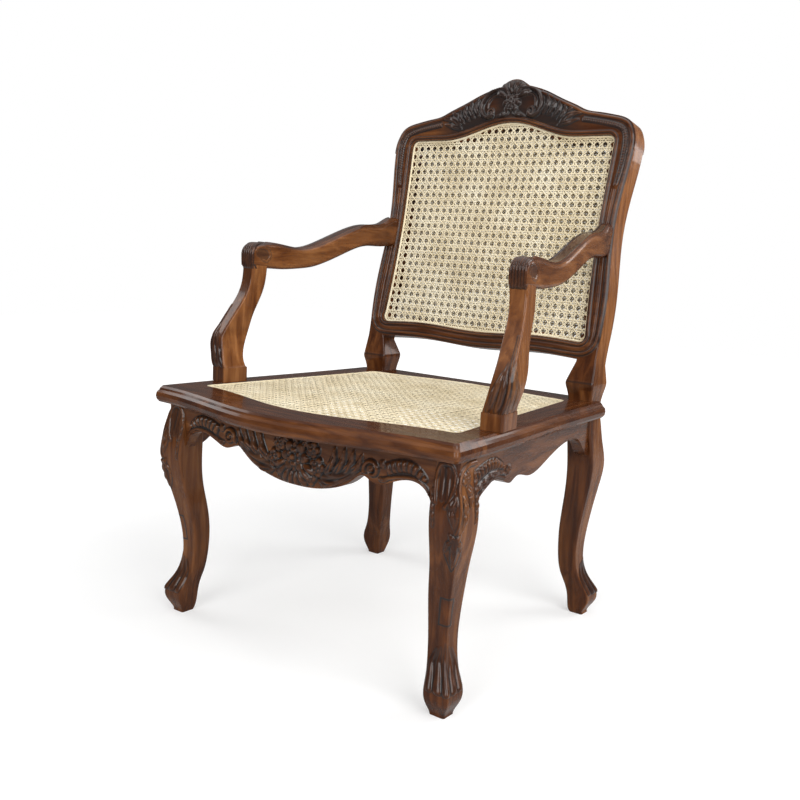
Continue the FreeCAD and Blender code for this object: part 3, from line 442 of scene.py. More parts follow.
# %% [markdown]
# The openings are drawn once, in millimetres, as closed rings of points: the seat's in plan, and the
# back's flat, with u across and v up the raked back. The same rings place the strips over the cane's
# edge.

# %% Edges of the two openings
STILE_TOP, CANE_TOP, CANE_RISE, CANE_HALF, CORNER = 373, 401, 33, 240, 14
SEAT_FRONT, FRONT_BOW, SEAT_REAR, REAR_BOW = -240.671, 54, 200.329, 26


def swell(share):
    """Raised cosine: 1 in the middle, 0 at both ends."""
    return 0.5 * (1 + math.cos(math.pi * share))


def turn_corner(centre, radius, start, steps=6):
    """Quarter of a circle, counter-clockwise from a start angle in degrees."""
    angles = [math.radians(start + 90 * step / steps) for step in range(steps + 1)]
    x, y = centre
    return [(x + radius * math.cos(angle), y + radius * math.sin(angle)) for angle in angles]


def both_sides(right_half):
    """Closed ring from its right half, drawn from the bottom middle to the top middle."""
    return right_half + [(-x, y) for x, y in reversed(right_half[1:-1])] + right_half[:1]


def cane_side(v):
    """Half width of the back cane at a height v."""
    share = min(max(v / STILE_TOP, 0), 1)
    return CANE_HALF - 5 * math.sin(math.pi * share) + 6 * max(0, 1 - 1.6 * share) ** 1.5


def rail_wave(u):
    """Rise of the edges of the lower back rail."""
    return 6 * math.sin(math.pi * abs(u) / 285.4) ** 2


def back_ring():
    """Edge of the back cane."""
    low = cane_side(0) - CORNER
    points = [(low * step / 24, rail_wave(low * step / 24)) for step in range(25)]
    points += turn_corner((low, points[-1][1] + CORNER), CORNER, -90)[1:]
    points += [(cane_side(v), v) for v in np.linspace(points[-1][1], CANE_TOP - CORNER, 40)[1:]]
    points += turn_corner((CANE_HALF - CORNER, CANE_TOP - CORNER), CORNER, 0)[1:]
    over_top = np.linspace(CANE_HALF - CORNER, 0, 40)[1:]
    points += [(u, CANE_TOP + CANE_RISE * swell(min(1, u / 155))) for u in over_top]
    return both_sides(points)


def seat_ring():
    """Edge of the seat cane, in plan."""
    points = [(x, SEAT_FRONT - FRONT_BOW * swell(x / 284)) for x in np.linspace(0, 270, 40)]
    points += turn_corner((269.6, -226.7), CORNER, -90)[1:]
    points += list(zip(np.linspace(282.3, 235.6, 20)[1:], np.linspace(-225, 184.6, 20)[1:]))
    points += turn_corner((221, 186.3), CORNER, 0)[1:]
    points += [(x, SEAT_REAR + REAR_BOW * swell(x / 234)) for x in np.linspace(220, 0, 40)[1:]]
    return both_sides(points)


BACK_RING, SEAT_RING = back_ring(), seat_ring()
print("back opening", len(BACK_RING), "points, seat opening", len(SEAT_RING), "points")

# %% [markdown]
# The sheets are cut to the rings. A face of the weave is kept if its middle lies inside, which numpy
# can test for all at once. What is left of a strand at the edge is dropped if it is only a crumb.

# %% Cut to a ring
def inside(ring, x, y):
    """Which of many points lie inside a closed ring."""
    odd = np.zeros(np.shape(x), bool)
    for (x0, y0), (x1, y1) in zip(ring, ring[1:]):
        if y0 != y1:
            odd ^= ((y0 > y) != (y1 > y)) & (x < (x1 - x0) * (y - y0) / (y1 - y0) + x0)
    return odd


def drop_crumbs(shape, least):
    """Delete the loose groups that have fewer than the least number of faces."""
    reached, crumbs = set(), []
    for first in shape.faces:
        group, waiting = [], [first]
        while waiting:
            face = waiting.pop()
            if face not in reached:
                reached.add(face)
                group.append(face)
                waiting.extend(other for edge in face.edges for other in edge.link_faces)
        if len(group) < least:
            crumbs += group
    bmesh.ops.delete(shape, geom=crumbs, context="FACES")


print("the seat's middle lies inside its ring:", bool(inside(SEAT_RING, 0, 0)))

# %% [markdown]
# Every new piece goes through one helper, so that none is left rough, unpolished or loose: it puts the
# shape into the scene, shades it smooth, gives it its finish and lets the frame carry it. The back
# leans by 10.5 degrees, so a flat drawing is stood on it by one matrix. The seat cane lies level.

# %% Weave the three sheets
BACK_AXES = Matrix((Vector((1, 0, 0)), UP_BACK, OUT_BACK))
ON_BACK = Matrix.Translation(BACK_FOOT) @ BACK_AXES.transposed().to_4x4()
CRUMB = 12


def new_object(name, shape):
    """Put a shape into the scene as an object."""
    mesh = bpy.data.meshes.new(name)
    shape.to_mesh(mesh)
    shape.free()
    made = bpy.data.objects.new(name, mesh)
    scene.collection.objects.link(made)
    return made


def finished(name, shape, finish):
    """Make a shape a piece of the chair, smooth, polished and carried by the frame."""
    piece = new_object(name, shape)
    piece.data.shade_smooth()
    polish(piece, finish)
    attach(piece, "root")
    return piece


def woven_sheet(name, ring, stand, rise, width, aside=(0.0, 0.0)):
    """Woven cane that fills a ring, stood in place by a matrix; aside is a share of a square."""
    low, high = np.min(ring, axis=0), np.max(ring, axis=0)
    counts = np.ceil((high - low) / PITCH_CANE).astype(int) + 2
    first = (low + high) / 2 - PITCH_CANE * ((counts - 1) / 2 - np.array(aside))
    shape = weave_square(width)
    bmesh.ops.scale(shape, verts=shape.verts, vec=(1, 1, rise))
    bmesh.ops.translate(shape, verts=shape.verts, vec=(*first, 0))
    bmesh.ops.recalc_face_normals(shape, faces=shape.faces)
    pattern = new_object(name + "_pattern", shape)
    cell = pattern.data
    for count, step in zip(counts, ((PITCH_CANE, 0, 0), (0, PITCH_CANE, 0))):
        repeat = pattern.modifiers.new("repeat", "ARRAY")
        repeat.count = int(count)
        repeat.use_relative_offset = False
        repeat.use_constant_offset = True
        repeat.constant_offset_displace = step
        repeat.use_merge_vertices = True
        repeat.merge_threshold = 0.01
    whole = bpy.data.meshes.new_from_object(pattern.evaluated_get(bpy.context.evaluated_depsgraph_get()))
    shape = bmesh.new()
    shape.from_mesh(whole)
    bpy.data.objects.remove(pattern)
    for spare in (cell, whole):
        bpy.data.meshes.remove(spare)
    faces = list(shape.faces)
    middles = np.array([face.calc_center_median()[:2] for face in faces])
    kept = inside(ring, middles[:, 0], middles[:, 1])
    bmesh.ops.delete(shape, geom=[face for face, keep in zip(faces, kept) if not keep], context="FACES")
    drop_crumbs(shape, CRUMB)
    shape.transform(stand @ Matrix.Scale(MM, 4))
    return finished(name, shape, straw)


def lifted(height):
    """Shift upwards, or out of the back, by a height in millimetres."""
    return Matrix.Translation((0, 0, height * MM))


seat_weave = woven_sheet("seat_weave", SEAT_RING, lifted(430.2), 1.4, 1.6)
back_weave = woven_sheet("back_weave", BACK_RING, ON_BACK @ lifted(-1.2), 1.0, 1.6)
rear_weave = woven_sheet("rear_weave", BACK_RING, ON_BACK @ lifted(-25.8), -1.0, 1.65, (-0.45, -0.19))
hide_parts("seat_cane_panel")
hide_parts("back_cane_panel")
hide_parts("rear_cane_panel")
print("cane:", [len(sheet.data.polygons) for sheet in (seat_weave, back_weave, rear_weave)], "faces")

# %% [markdown]
# ## Strips and mouldings
#
# A half-round strip of cane covers the edge of each sheet, and beads are worked on the wood in the same
# way: a profile runs along a drawn line. One helper does both. It takes a grid with one column for each
# point of the line and one row for each point of the profile, and sends every corner of it to its
# place. A profile point is an offset to the side, a height and the glaze that stays there.

# %% A profile along a line
def run_profile(line, profile, place, flip=False):
    """Grid along a line, with a profile of (offset, height, glaze) points across it, in millimetres."""
    points = np.array(line, float)
    closed = bool(np.allclose(points[0], points[-1]))
    before, after = np.roll(points, 1, axis=0), np.roll(points, -1, axis=0)
    if closed:
        before[0], after[-1] = points[-2], points[1]
    else:
        before[0], after[-1] = points[0], points[-1]
    heading = after - before
    heading /= np.hypot(heading[:, 0], heading[:, 1])[:, None]
    shape = bmesh.new()
    glaze = shape.verts.layers.float.new("glaze")
    lost = []
    for vert, step, row in spread_grid(shape, len(points), len(profile)):
        offset, height, dark = profile[row]
        a, b = points[step] + offset * np.array((-heading[step][1], heading[step][0]))
        spot = place(a, b, height)
        if spot is None:
            lost.append(vert)
            continue
        vert.co = spot
        vert[glaze] = dark
    bmesh.ops.delete(shape, geom=lost, context="VERTS")
    bmesh.ops.remove_doubles(shape, verts=shape.verts, dist=0.00001)
    if flip:
        bmesh.ops.reverse_faces(shape, faces=shape.faces)
    return shape


def flat_on(stand):
    """Places on a flat drawing that is stood up by a matrix."""
    return lambda u, v, height: stand @ (Vector((u, v, height)) * MM)


def half_round(rise):
    """Profile of a strip to the left of its line, its height times a factor."""
    return [(offset, height * rise, 0) for offset, height in REED]


REED = [(-0.2, -0.6), (0.1, 0.9), (1.0, 1.9), (2.2, 2.3), (3.4, 1.9), (4.3, 0.9), (4.6, -0.6)]
seat_strip = run_profile(SEAT_RING, half_round(0.8), flat_on(lifted(431.2)))
back_strip = run_profile(BACK_RING, half_round(1), flat_on(ON_BACK))
rear_strip = run_profile(BACK_RING, half_round(-1), flat_on(ON_BACK @ lifted(-27)), flip=True)
seat_reed = finished("seat_reed", seat_strip, straw)
back_reed = finished("back_reed", back_strip, straw)
rear_reed = finished("rear_reed", rear_strip, straw)
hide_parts("seat_cane_spline")
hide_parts("back_cane_spline")
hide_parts("rear_cane_spline")
print("cane strips:", [len(reed.data.polygons) for reed in (seat_reed, back_reed, rear_reed)], "faces")

# %% [markdown]
# ## Mouldings on the back
#
# On the wood, a place is found by looking: a ray goes towards the part, and where it hits, the height
# of the profile is added back along the ray. So a bead follows the wood exactly, whatever its shape,
# and the wood itself stays as it is.

# %% Finding the wood
NEAR = 60  # start of a ray, in mm from the wood


def lumber(*names):
    """The surface of some wooden parts, to be found by rays."""
    corners, faces = [], []
    for name in names:
        mesh = nodes[name].data
        first = len(corners)
        corners.extend(vert.co.copy() for vert in mesh.vertices)
        faces.extend([first + corner for corner in face.vertices] for face in mesh.polygons)
    return BVHTree.FromPolygons(corners, faces)


def on_wood(wood, ray):
    """Places on the wood: a ray gives a start and a direction, in millimetres."""
    def place(a, b, height):
        start, into = ray(a, b)
        spot = wood.ray_cast(start * MM, into)[0]
        return None if spot is None else spot - into * height * MM
    return place


def back_ray(u, v):
    """Straight onto the front of the back."""
    return ON_BACK @ (Vector((u, v, NEAR)) * MM) / MM, -OUT_BACK


BACK_WOOD = lumber("crest_rail", "lower_back_rail", "rear_post_right", "rear_post_left")
rail_front = on_wood(BACK_WOOD, back_ray)(0, -15, 0)
print("front of the lower rail at", [round(length, 3) for length in rail_front])

# %% [markdown]
# The lines of the mouldings are drawn flat, like the rings: one keeps its distance from the outer edge
# of the rail, the stiles and the crest, and one runs midway between that edge and the cane. Only the
# right half is drawn, and a helper adds the left one.

# %% Lines of the back
def stile_edge(v):
    """Outer edge of the back."""
    share = v / STILE_TOP
    return 283 - 13 * swell(min(1, abs(2.2 * (share - 0.6)))) - 10 * max(0, 0.5 - share)


def smooth_line(points, per_step=6):
    """Points of a smooth curve through given ones."""
    points = np.array(points, float)
    ends = np.vstack([2 * points[0] - points[1], points, 2 * points[-1] - points[-2]])
    line = []
    for a, b, c, d in zip(ends, ends[1:], ends[2:], ends[3:]):
        bend, twist = 2 * a - 5 * b + 4 * c - d, 3 * b - a - 3 * c + d
        for t in np.arange(per_step) / per_step:
            line.append(0.5 * (2 * b + (c - a) * t + bend * t**2 + twist * t**3))
    return [tuple(point) for point in line] + [tuple(points[-1])]


CREST_SHARES = [
    (0.998, -0.08), (0.98, 0.067), (0.945, 0.2), (0.895, 0.27), (0.823, 0.315), (0.716, 0.365),
    (0.60, 0.42), (0.537, 0.49), (0.458, 0.57), (0.376, 0.655), (0.286, 0.755), (0.197, 0.83),
    (0.107, 0.885),
]
CREST_HALF, CREST_RISE = stile_edge(STILE_TOP), 120
CREST_EDGE = smooth_line([(CREST_HALF, STILE_TOP)] + [
    (CREST_HALF * x, CANE_TOP + CREST_RISE * y) for x, y in CREST_SHARES])


def from_left(points):
    """Line or profile over both sides, from its right half."""
    return [(-point[0], *point[1:]) for point in reversed(points[1:])] + points


def outer_line():
    """Line of the outer bead: along the rail, round the corner, up the stile and over the crest."""
    points = [(u, rail_wave(u) - 24) for u in np.linspace(0, 205, 24)]
    points += turn_corner((stile_edge(12) - 7 - 34, points[-1][1] + 34), 34, -90)
    points += [(stile_edge(v) - 7, v) for v in np.linspace(points[-1][1] + 6, 366, 40)]
    crest = np.array(CREST_EDGE)
    heading = np.gradient(crest, axis=0)
    heading /= np.hypot(heading[:, 0], heading[:, 1])[:, None]
    inner = crest + 6.5 * np.stack([-heading[:, 1], heading[:, 0]], axis=1)
    points += [tuple(point) for point in inner if point[0] > 66 and point[1] > 370]
    return from_left(points)


def cushion_line():
    """Line of the low cushion between the two beads, from stile to stile along the lower rail."""
    points = [(u, rail_wave(u) - 15) for u in np.linspace(0, 212, 24)]
    middle = [((cane_side(v) + stile_edge(v)) / 2 - 2, v) for v in np.linspace(30, 296, 30)]
    points += turn_corner((middle[0][0] - 28, points[-1][1] + 28), 28, -90)
    points += middle
    return from_left(points)


OUTER_LINE, CUSHION_LINE = outer_line(), cushion_line()
print("outer line", len(OUTER_LINE), "points, cushion line", len(CUSHION_LINE), "points")

# %% [markdown]
# A bead has a narrow skirt on both sides that carries the dark line of glaze, and its outer edges sink
# into the wood. The cushion is a low swelling without a skirt.

# %% Beads round the back
CUSHION = from_left([(0, 1.9, 0.0), (1.7, 1.7, 0.0), (3.4, 1.1, 0.15), (4.6, 0.2, 0.6), (5.2, -0.4, 0.3)])
BEAD = from_left([
    (0, 2.6, 0.0), (1.5, 2.2, 0.1), (2.7, 1.3, 0.55), (3.3, 0.25, 1.0), (4.2, 0.2, 0.75), (5.6, 0.15, 0.1),
    (6.2, -0.4, 0.0),
])
MOULDINGS = {
    "back_inner_bead": (BACK_RING, [(x * 0.75 - 5.4, height, dark) for x, height, dark in BEAD]),
    "back_outer_bead": (OUTER_LINE, [(x * 1.1, height * 1.3, dark) for x, height, dark in BEAD]),
    "back_cushion": (CUSHION_LINE, CUSHION),
}
for name, (line, profile) in MOULDINGS.items():
    moulding = finished(name, run_profile(line, profile, on_wood(BACK_WOOD, back_ray)), rails)
    print(name, len(moulding.data.polygons), "faces")

# %% [markdown]
# ## Drawing a carving
#
# A carver draws first and then sinks the ground, so that leaves and scrolls stand up from it. The same
# is done here on a sheet of closely spaced points: every shape raises the sheet to its own height, and
# where two shapes meet, the higher one stays. The sheet is then laid on the wood. Shapes are described
# by their distance from a drawn line or a centre, which numpy works out for the whole sheet at once.

# %% Drawing board
class Drawing:
    """Heights in millimetres over a sheet of points; a twin drawing is the same on both sides of a = 0."""

    def __init__(self, left, right, low, high, step=(1.3, 1.3), twin=False):
        columns, rows = int((right - left) / step[0]) + 2, int((high - low) / step[1]) + 2
        self.a, self.b = np.meshgrid(np.linspace(left, right, columns), np.linspace(low, high, rows))
        self.x = np.abs(self.a) if twin else self.a
        self.height = np.full(self.a.shape, -1.2)
        self.line = np.zeros(self.a.shape)
        self.zone = np.ones(self.a.shape, bool)

    def follow(self, points):
        """How far along a line each point lies, from 0 to 1, and its distance from it, with a sign."""
        points = np.array(points, float)
        lengths = np.hypot(*np.diff(points, axis=0).T)
        ends = np.concatenate([[0], np.cumsum(lengths)]) / lengths.sum()
        nearest, share, side = np.full(self.x.shape, 1e9), np.zeros(self.x.shape), np.ones(self.x.shape)
        for start, run, low, high in zip(points, np.diff(points, axis=0), ends, ends[1:]):
            x, y = self.x - start[0], self.b - start[1]
            t = np.clip((x * run[0] + y * run[1]) / (run @ run), 0, 1)
            gap = np.hypot(x - t * run[0], y - t * run[1])
            better = gap < nearest
            nearest = np.where(better, gap, nearest)
            share = np.where(better, low + (high - low) * t, share)
            side = np.where(better, np.where(run[0] * y < run[1] * x, -1.0, 1.0), side)
        return share, nearest * side

    def around(self, centre):
        """Distance and angle of each point from a centre."""
        x, y = self.x - centre[0], self.b - centre[1]
        return np.hypot(x, y), np.arctan2(y, x)

    def raise_to(self, height, where):
        """Raise the sheet to a height wherever a shape is."""
        self.height = np.where(where & self.zone, np.maximum(self.height, height), self.height)

    def soften(self, field, rounds):
        """A field with its sharp steps rubbed down."""
        for _ in range(rounds):
            wide = np.pad(field, 1, mode="edge")
            field = (wide[:-2, 1:-1] + wide[2:, 1:-1] + wide[1:-1, :-2] + wide[1:-1, 2:] + 4 * field) / 8
        return field


print("a drawing of 26 by 13 mm has", Drawing(0, 26, 0, 13).height.size, "points")

# %% [markdown]
# The shapes are those of a carver's pattern book. Three of them run along a line: a bead, a leaf with a
# lobed edge, a rib and veins, and a row of lobes.

# %% Shapes along a line
def dome(across):
    """Round section: 1 in the middle and 0 from the edges on."""
    return np.sqrt(np.clip(1 - across**2, 0, 1))


def bead(sheet, points, half, height, taper=0.0):
    """Half-round along a line, thinner towards its end by a taper."""
    share, gap = sheet.follow(points)
    scale = 1 - taper * share
    across = np.abs(gap) / (half * scale)
    sheet.raise_to(height * scale * dome(across), across < 1)


def leaf(sheet, points, half, height, lobes):
    """Leaf along a line: widest in its first half, lobed, with a sunk rib and slanting veins."""
    share, gap = sheet.follow(smooth_line(points))
    reach = half * np.sin(np.pi * np.clip(share, 0.001, 0.999) ** 0.65) ** 0.75
    reach = np.maximum(reach * (0.76 + 0.24 * np.abs(np.cos(np.pi * lobes * share))), 0.01)
    across = np.abs(gap) / reach
    crown = dome(across) * (0.45 + 0.55 * np.sin(np.pi * share) ** 0.5)
    veins = 0.80 + 0.20 * np.cos(2 * np.pi * (lobes * share + 0.55 * across))
    rib = 1 - 0.35 * np.exp(-(gap / 0.9) ** 2)
    sheet.raise_to(height * crown * veins * rib, across < 1)


def lobe_row(sheet, points, half, height, count):
    """Row of rounded lobes side by side along a line."""
    share, gap = sheet.follow(smooth_line(points))
    across = np.abs(gap) / (half * (1 - 0.75 * share ** 5))
    ridge = 0.25 + 0.75 * np.abs(np.sin(np.pi * count * share)) ** 0.7
    sheet.raise_to(height * ridge * dome(across), (across < 1) & (share > 0) & (share < 1))


print("pattern book: bead, leaf, lobe row")

# %% [markdown]
# The others stand round a centre: a scroll that winds in to an eye, a flower with cupped petals, and a
# shell with ribs. The last is a line cut with the corner of a chisel, which holds glaze and the shade of
# its groove, both painted on a thin film.

# %% Shapes round a centre, and cut lines
def scroll(sheet, centre, radius, turns, start, hand, half, height):
    """Bead that winds in to a round eye."""
    shares = np.linspace(0, 1, 40)
    angles = math.radians(start) + hand * 2 * math.pi * turns * shares
    reach = radius * (1 - 0.78 * shares)
    winding = np.stack([centre[0] + reach * np.cos(angles), centre[1] + reach * np.sin(angles)], 1)
    bead(sheet, winding, half, height, 0.45)
    eye = sheet.around(centre)[0] / (radius * 0.26)
    sheet.raise_to(height * 1.1 * dome(eye), eye < 1)


def flower(sheet, centre, radius, petals, height):
    """Open flower: cupped petals in two rings and a round middle."""
    gap, angle = sheet.around(centre)
    for ring, turn, lift in ((1.0, 0.0, 0.8), (0.55, 0.5, 0.95)):
        phase = np.abs(np.cos(petals * angle / 2 + turn * math.pi))
        across = gap / (radius * ring * (0.74 + 0.26 * phase))
        cup = (0.40 + 0.60 * np.clip(across, 0, 1) ** 1.3) * dome(across**3)
        sheet.raise_to(height * lift * cup * (0.60 + 0.40 * np.sqrt(phase)), across < 1)
    middle = gap / (radius * 0.24)
    sheet.raise_to(height * 1.05 * dome(middle), middle < 1)


def shell(sheet, centre, inner, outer, start, end, ribs, height):
    """Fan of ribs between two angles in degrees."""
    gap, angle = sheet.around(centre)
    share = (np.degrees(angle) - start) / (end - start)
    rib = np.abs(np.sin(np.pi * ribs * share)) ** 0.6
    across = (gap - inner) / (outer * (0.9 + 0.1 * rib) - inner)
    swollen = np.sin(np.pi * np.clip(0.15 + 0.8 * across, 0, 1)) ** 0.6
    within = (across > 0) & (across < 1) & (share > 0) & (share < 1)
    sheet.raise_to(height * swollen * (0.45 + 0.55 * rib), within)


def cut_line(sheet, points, half, dark):
    """Line as if cut into the wood: a flat film, dark with glaze and with the groove's painted shade."""
    gap = np.abs(sheet.follow(points)[1])
    sheet.raise_to(0.2, gap < half * 4)
    # painted shade of a groove that is not cut, with its glaze
    sheet.line = np.maximum(sheet.line, np.clip(2.2 - gap / half, 0, 1) * dark)


print("pattern book: scroll, flower, shell, cut line")

# %% [markdown]
# ## Laying a drawing on the wood
#
# A grid with one corner for each point of the sheet is laid on the wood by rays, as the mouldings were.
# Round each shape a narrow margin of sunk ground is kept, and the rest of the grid is cut away. Glaze
# stays where the sheet lies lower than its surroundings, and is rubbed off where it stands higher. The
# outermost corners sink into the wood, so that no edge of the carving stands open.

# %% Carve a drawing
SUNK, GROUND = -0.6, 0.3
MIRROR = Matrix.Scale(-1, 3, (1, 0, 0))


def carve(name, sheet, place, finish, stain, flip=False):
    """Lay a drawing on the wood as one piece. Stain is the glaze that stays on an even surface."""
    near = sheet.soften((sheet.height > GROUND + 0.01).astype(float), 8)
    sheet.raise_to(GROUND, near > 0.03)
    height = sheet.soften(sheet.height, 1)
    raised = np.maximum(height, 0)
    hollow = sheet.soften(raised, 12) - raised
    left = np.clip(near * 3, 0, 1) * (stain + 0.25 * (raised < 0.5)) + 0.42 * hollow
    glaze = np.clip(np.maximum(left, sheet.line), 0, 1)
    rows, columns = sheet.a.shape
    shape = bmesh.new()
    layer = shape.verts.layers.float.new("glaze")
    drawn_at = {}
    for vert, column, row in spread_grid(shape, columns, rows):
        spot = row, column
        drawn_at[vert] = (float(sheet.a[spot]), float(sheet.b[spot]))
        found = place(*drawn_at[vert], max(float(height[spot]), SUNK)) if sheet.zone[spot] else None
        vert.hide = found is None
        vert.tag = not vert.hide and height[spot] > SUNK
        vert.co = found or vert.co
        vert[layer] = float(glaze[spot])
    spare = [face for face in shape.faces
             if any(vert.hide for vert in face.verts) or not any(vert.tag for vert in face.verts)]
    bmesh.ops.delete(shape, geom=spare, context="FACES")
    for vert in shape.verts:
        if vert.is_boundary:
            vert.co = place(*drawn_at[vert], SUNK)
    if flip:
        bmesh.ops.reverse_faces(shape, faces=shape.faces)
    piece = finished(name, shape, finish)
    print(name, len(piece.data.polygons), "faces")


def mirrored_ray(ray):
    """The same ray on the left of the chair."""
    return lambda a, b: tuple(MIRROR @ vector for vector in ray(a, b))


def carve_pair(name, sheet, parts, ray, finish, stain, flip=False):
    """The same carving on the right and on the left of the chair."""
    for word, here, turned in (("right", ray, flip), ("left", mirrored_ray(ray), not flip)):
        wood = lumber(*[part + word for part in parts])
        carve(f"{name}_{word}", sheet, on_wood(wood, here), finish, stain, turned)


print("the edges of a carving sink", -SUNK, "mm into the wood")

# %% [markdown]
# ## Crest
#
# In the middle of the crest is a flower with a shell above it, held by two C-scrolls. Slanting leaves
# lean against the scrolls, a spray of leaves tapers off along each side, and a row of small lobes goes
# on over the shoulder and down the stile. Below the lobes a flat panel is left plain. Single meshes for
# so many leaves would cut into each other, so all of it is one drawing, of which only the right half is
# planned.

# %% Carve the crest
crest = Drawing(-272, 272, 300, 523, twin=True)
boss = [(30.2 * math.cos(turn), 507 + 13.5 * math.sin(turn)) for turn in np.linspace(0.2, math.pi / 2, 8)]
from_edge = crest.follow(CREST_EDGE + boss)[1]
from_cane = np.abs(crest.follow([point for point in BACK_RING if point[0] >= 0])[1])
crest.zone = ((from_edge > 1.2) | (crest.b < STILE_TOP + 1)) & (from_cane > 8.5)
crest.zone &= ~inside(BACK_RING, crest.a, crest.b)
crest.raise_to(GROUND, crest.b > 400)
fields = np.exp(-((crest.x - 48) / 14) ** 2 - ((crest.b - 468) / 16) ** 2)
crest.line = np.clip((190 - crest.x) / 70, 0, 1) * (0.85 - 0.45 * fields)
shell(crest, (0, 478), 14, 44, 14, 166, 6, 8)
flower(crest, (0, 472), 21, 7, 11)
C_SCROLL = [(18, 501), (42, 501), (62, 488), (71, 468), (66, 451), (53, 443), (43, 449)]
bead(crest, smooth_line(C_SCROLL), 4.4, 8)
scroll(crest, (46, 454), 9.5, 1.3, -110, 1, 3.0, 7)
bead(crest, smooth_line([(26, 488), (44, 488), (55, 477), (57, 463)]), 2.2, 4.5)
leaf(crest, [(4, 455), (16, 449), (36, 444)], 6, 6, 2)
for spine, half, high in (
    ([(74, 446), (85, 466), (80, 491)], 7.0, 8.0), ([(86, 443), (98, 461), (95, 484)], 7.0, 7.5),
    ([(98, 438), (111, 455), (109, 476)], 6.5, 7.0), ([(110, 433), (123, 448), (124, 467)], 6.0, 6.0),
    ([(117, 427), (140, 443), (166, 445)], 8.0, 6.0), ([(112, 422), (136, 428), (160, 434)], 6.0, 5.0),
    ([(126, 446), (140, 456), (156, 455)], 5.0, 5.0),
):
    leaf(crest, spine, half, high, 2)
SHOULDER = [
    (166, 433), (202, 427), (232, 420.5), (248, 415), (257, 407), (262, 393), (263, 373), (261, 340),
    (256, 303),
]
lobe_row(crest, SHOULDER, 4.6, 3.0, 38)
carve("crest_carving", crest, on_wood(BACK_WOOD, back_ray), rails, 0.72)

# %% [markdown]
# Low on each post, where its base block is widest, a line is cut across the front. A groove would need
# a cut in the wood, which stays as it is here, so the line is glaze on a film that is 0.2 mm thick, with
# the shade of the groove painted into it.

# %% Cut the base lines of the posts
FAR = 450  # start of a ray, in mm from the middle of the chair


def front_ray(x, z):
    """From the front of the chair backwards."""
    return Vector((x, -FAR, z)), Vector((0, 1, 0))


base = Drawing(219, 281, 455, 481, (1.2, 0.8))
cut_line(base, [(219, 467), (281, 467)], 1.1, 0.6)
carve_pair("post_base_line", base, ["rear_post_"], front_ray, posts, 0.0)

# %% [markdown]
# ## Front apron
#
# The apron under the front of the seat carries the deepest carving: a large flower over a shell in the
# middle, small flowers beside it, a spray of acanthus to each side, a scroll with a round eye, and a
# row of lobes over each arch. Between them the board stays plain. The board bows forwards, which the
# drawing needn't know: its rays find the bow by themselves.

# %% Carve the front apron
APRON_EDGE = smooth_line([
    (0, 306), (39, 308), (77, 315.8), (120, 336.4), (141, 349), (156, 344), (172, 340), (190.5, 345),
    (216, 355), (247, 357), (263, 348), (277, 325.6), (286, 311),
])
apron = Drawing(-276, 276, 304, 403, twin=True)
apron.zone = (apron.follow(APRON_EDGE)[1] > 0.8) & (apron.b < 402.5) & (apron.x < 273)
shell(apron, (0, 354), 22, 51, -165, -15, 8, 12)
for spine, half, high in (
    ([(0, 374), (0, 388), (0, 402)], 8, 10), ([(13, 372), (24, 384), (30, 398)], 7, 9),
    ([(54, 330), (85, 331), (118, 347), (142, 372)], 15, 7), ([(50, 324), (76, 322), (110, 338)], 7, 9),
    ([(64, 338), (80, 358), (84, 386)], 8, 10), ([(80, 338), (98, 358), (105, 388)], 8, 10),
    ([(97, 342), (116, 360), (123, 387)], 7.5, 9.5), ([(113, 348), (132, 362), (140, 383)], 6.5, 8.5),
    ([(174, 350), (186, 350), (198, 359)], 4.5, 6),
):
    leaf(apron, spine, half, high, 2)
flower(apron, (0, 355), 30, 7, 16)
for x, z, radius, high in ((37, 372, 15, 11), (48, 345, 17, 12), (33, 324, 13, 11), (181, 374, 7, 6)):
    flower(apron, (x, z), radius, 5, high)
scroll(apron, (160, 362), 15, 1.5, 200, -1, 3.8, 8)
lobe_row(apron, [(190, 368), (215, 377), (240, 377), (266, 363)], 10, 7, 8)
bead(apron, smooth_line([(184, 351), (216, 360), (247, 362), (262, 354), (270, 342)]), 2.8, 4)
bead(apron, smooth_line([(60, 316), (77, 320), (120, 341), (139, 353)]), 2.8, 4)
carve("front_apron_carving", apron, on_wood(lumber("front_apron"), front_ray), aprons, 0.62)

# %% [markdown]
# ## Side aprons
#
# Only the front end of each side apron is carved: a row of lobes over a leaf, with a bead along the
# arch. The two sides are mirrored, so one drawing serves both, with its rays turned round for the left.

# %% Carve the side aprons
def side_ray(y, z):
    """From the right of the chair inwards."""
    return Vector((FAR, y, z)), Vector((-1, 0, 0))


SIDE_EDGE = smooth_line([
    (-240, 318), (-222.8, 328), (-206.9, 339), (-166, 352.5), (-129.8, 344), (-107.3, 338), (-89, 344),
])
side = Drawing(-246, -100, 328, 400)
side.zone = side.follow(SIDE_EDGE)[1] > 0.8
lobe_row(side, [(-240, 366), (-205, 377), (-170, 380), (-136, 370)], 10, 6.5, 10)
leaf(side, [(-236, 347), (-205, 355), (-165, 365), (-122, 357)], 8, 6, 6)
bead(side, smooth_line([(-228, 331), (-208, 344), (-166, 358), (-130, 350)]), 2.8, 4)
flower(side, (-117, 362), 9, 6, 6)
carve_pair("side_apron_carving", side, ["side_apron_"], side_ray, boards, 0.45)

# %% [markdown]
# ## Knees and feet
#
# The carving on a knee goes round the outer corner of the leg, so it is drawn unrolled: a = 0 is the
# corner, the front of the leg lies to the left of it and the side to the right. A ray goes straight in
# on the two flats and turns from one to the other near the corner. The leg sways, so the corner's place
# is read off the tables of its sway and its thickness. Below the knee a thin line encloses a small
# rectangle.

# %% Carve the knees
LEG_HEIGHTS = LEG_SHARES * LEG_TOP
FRONT_SIDES = (28, 40.6, 46, 40.5, 36, 36, 40.6, 44, 49.3, 55, 51, 46)
REAR_SIDES = (28, 41.7, 46, 42.2, 39, 39, 43, 46, 50, 55, 51, 46)


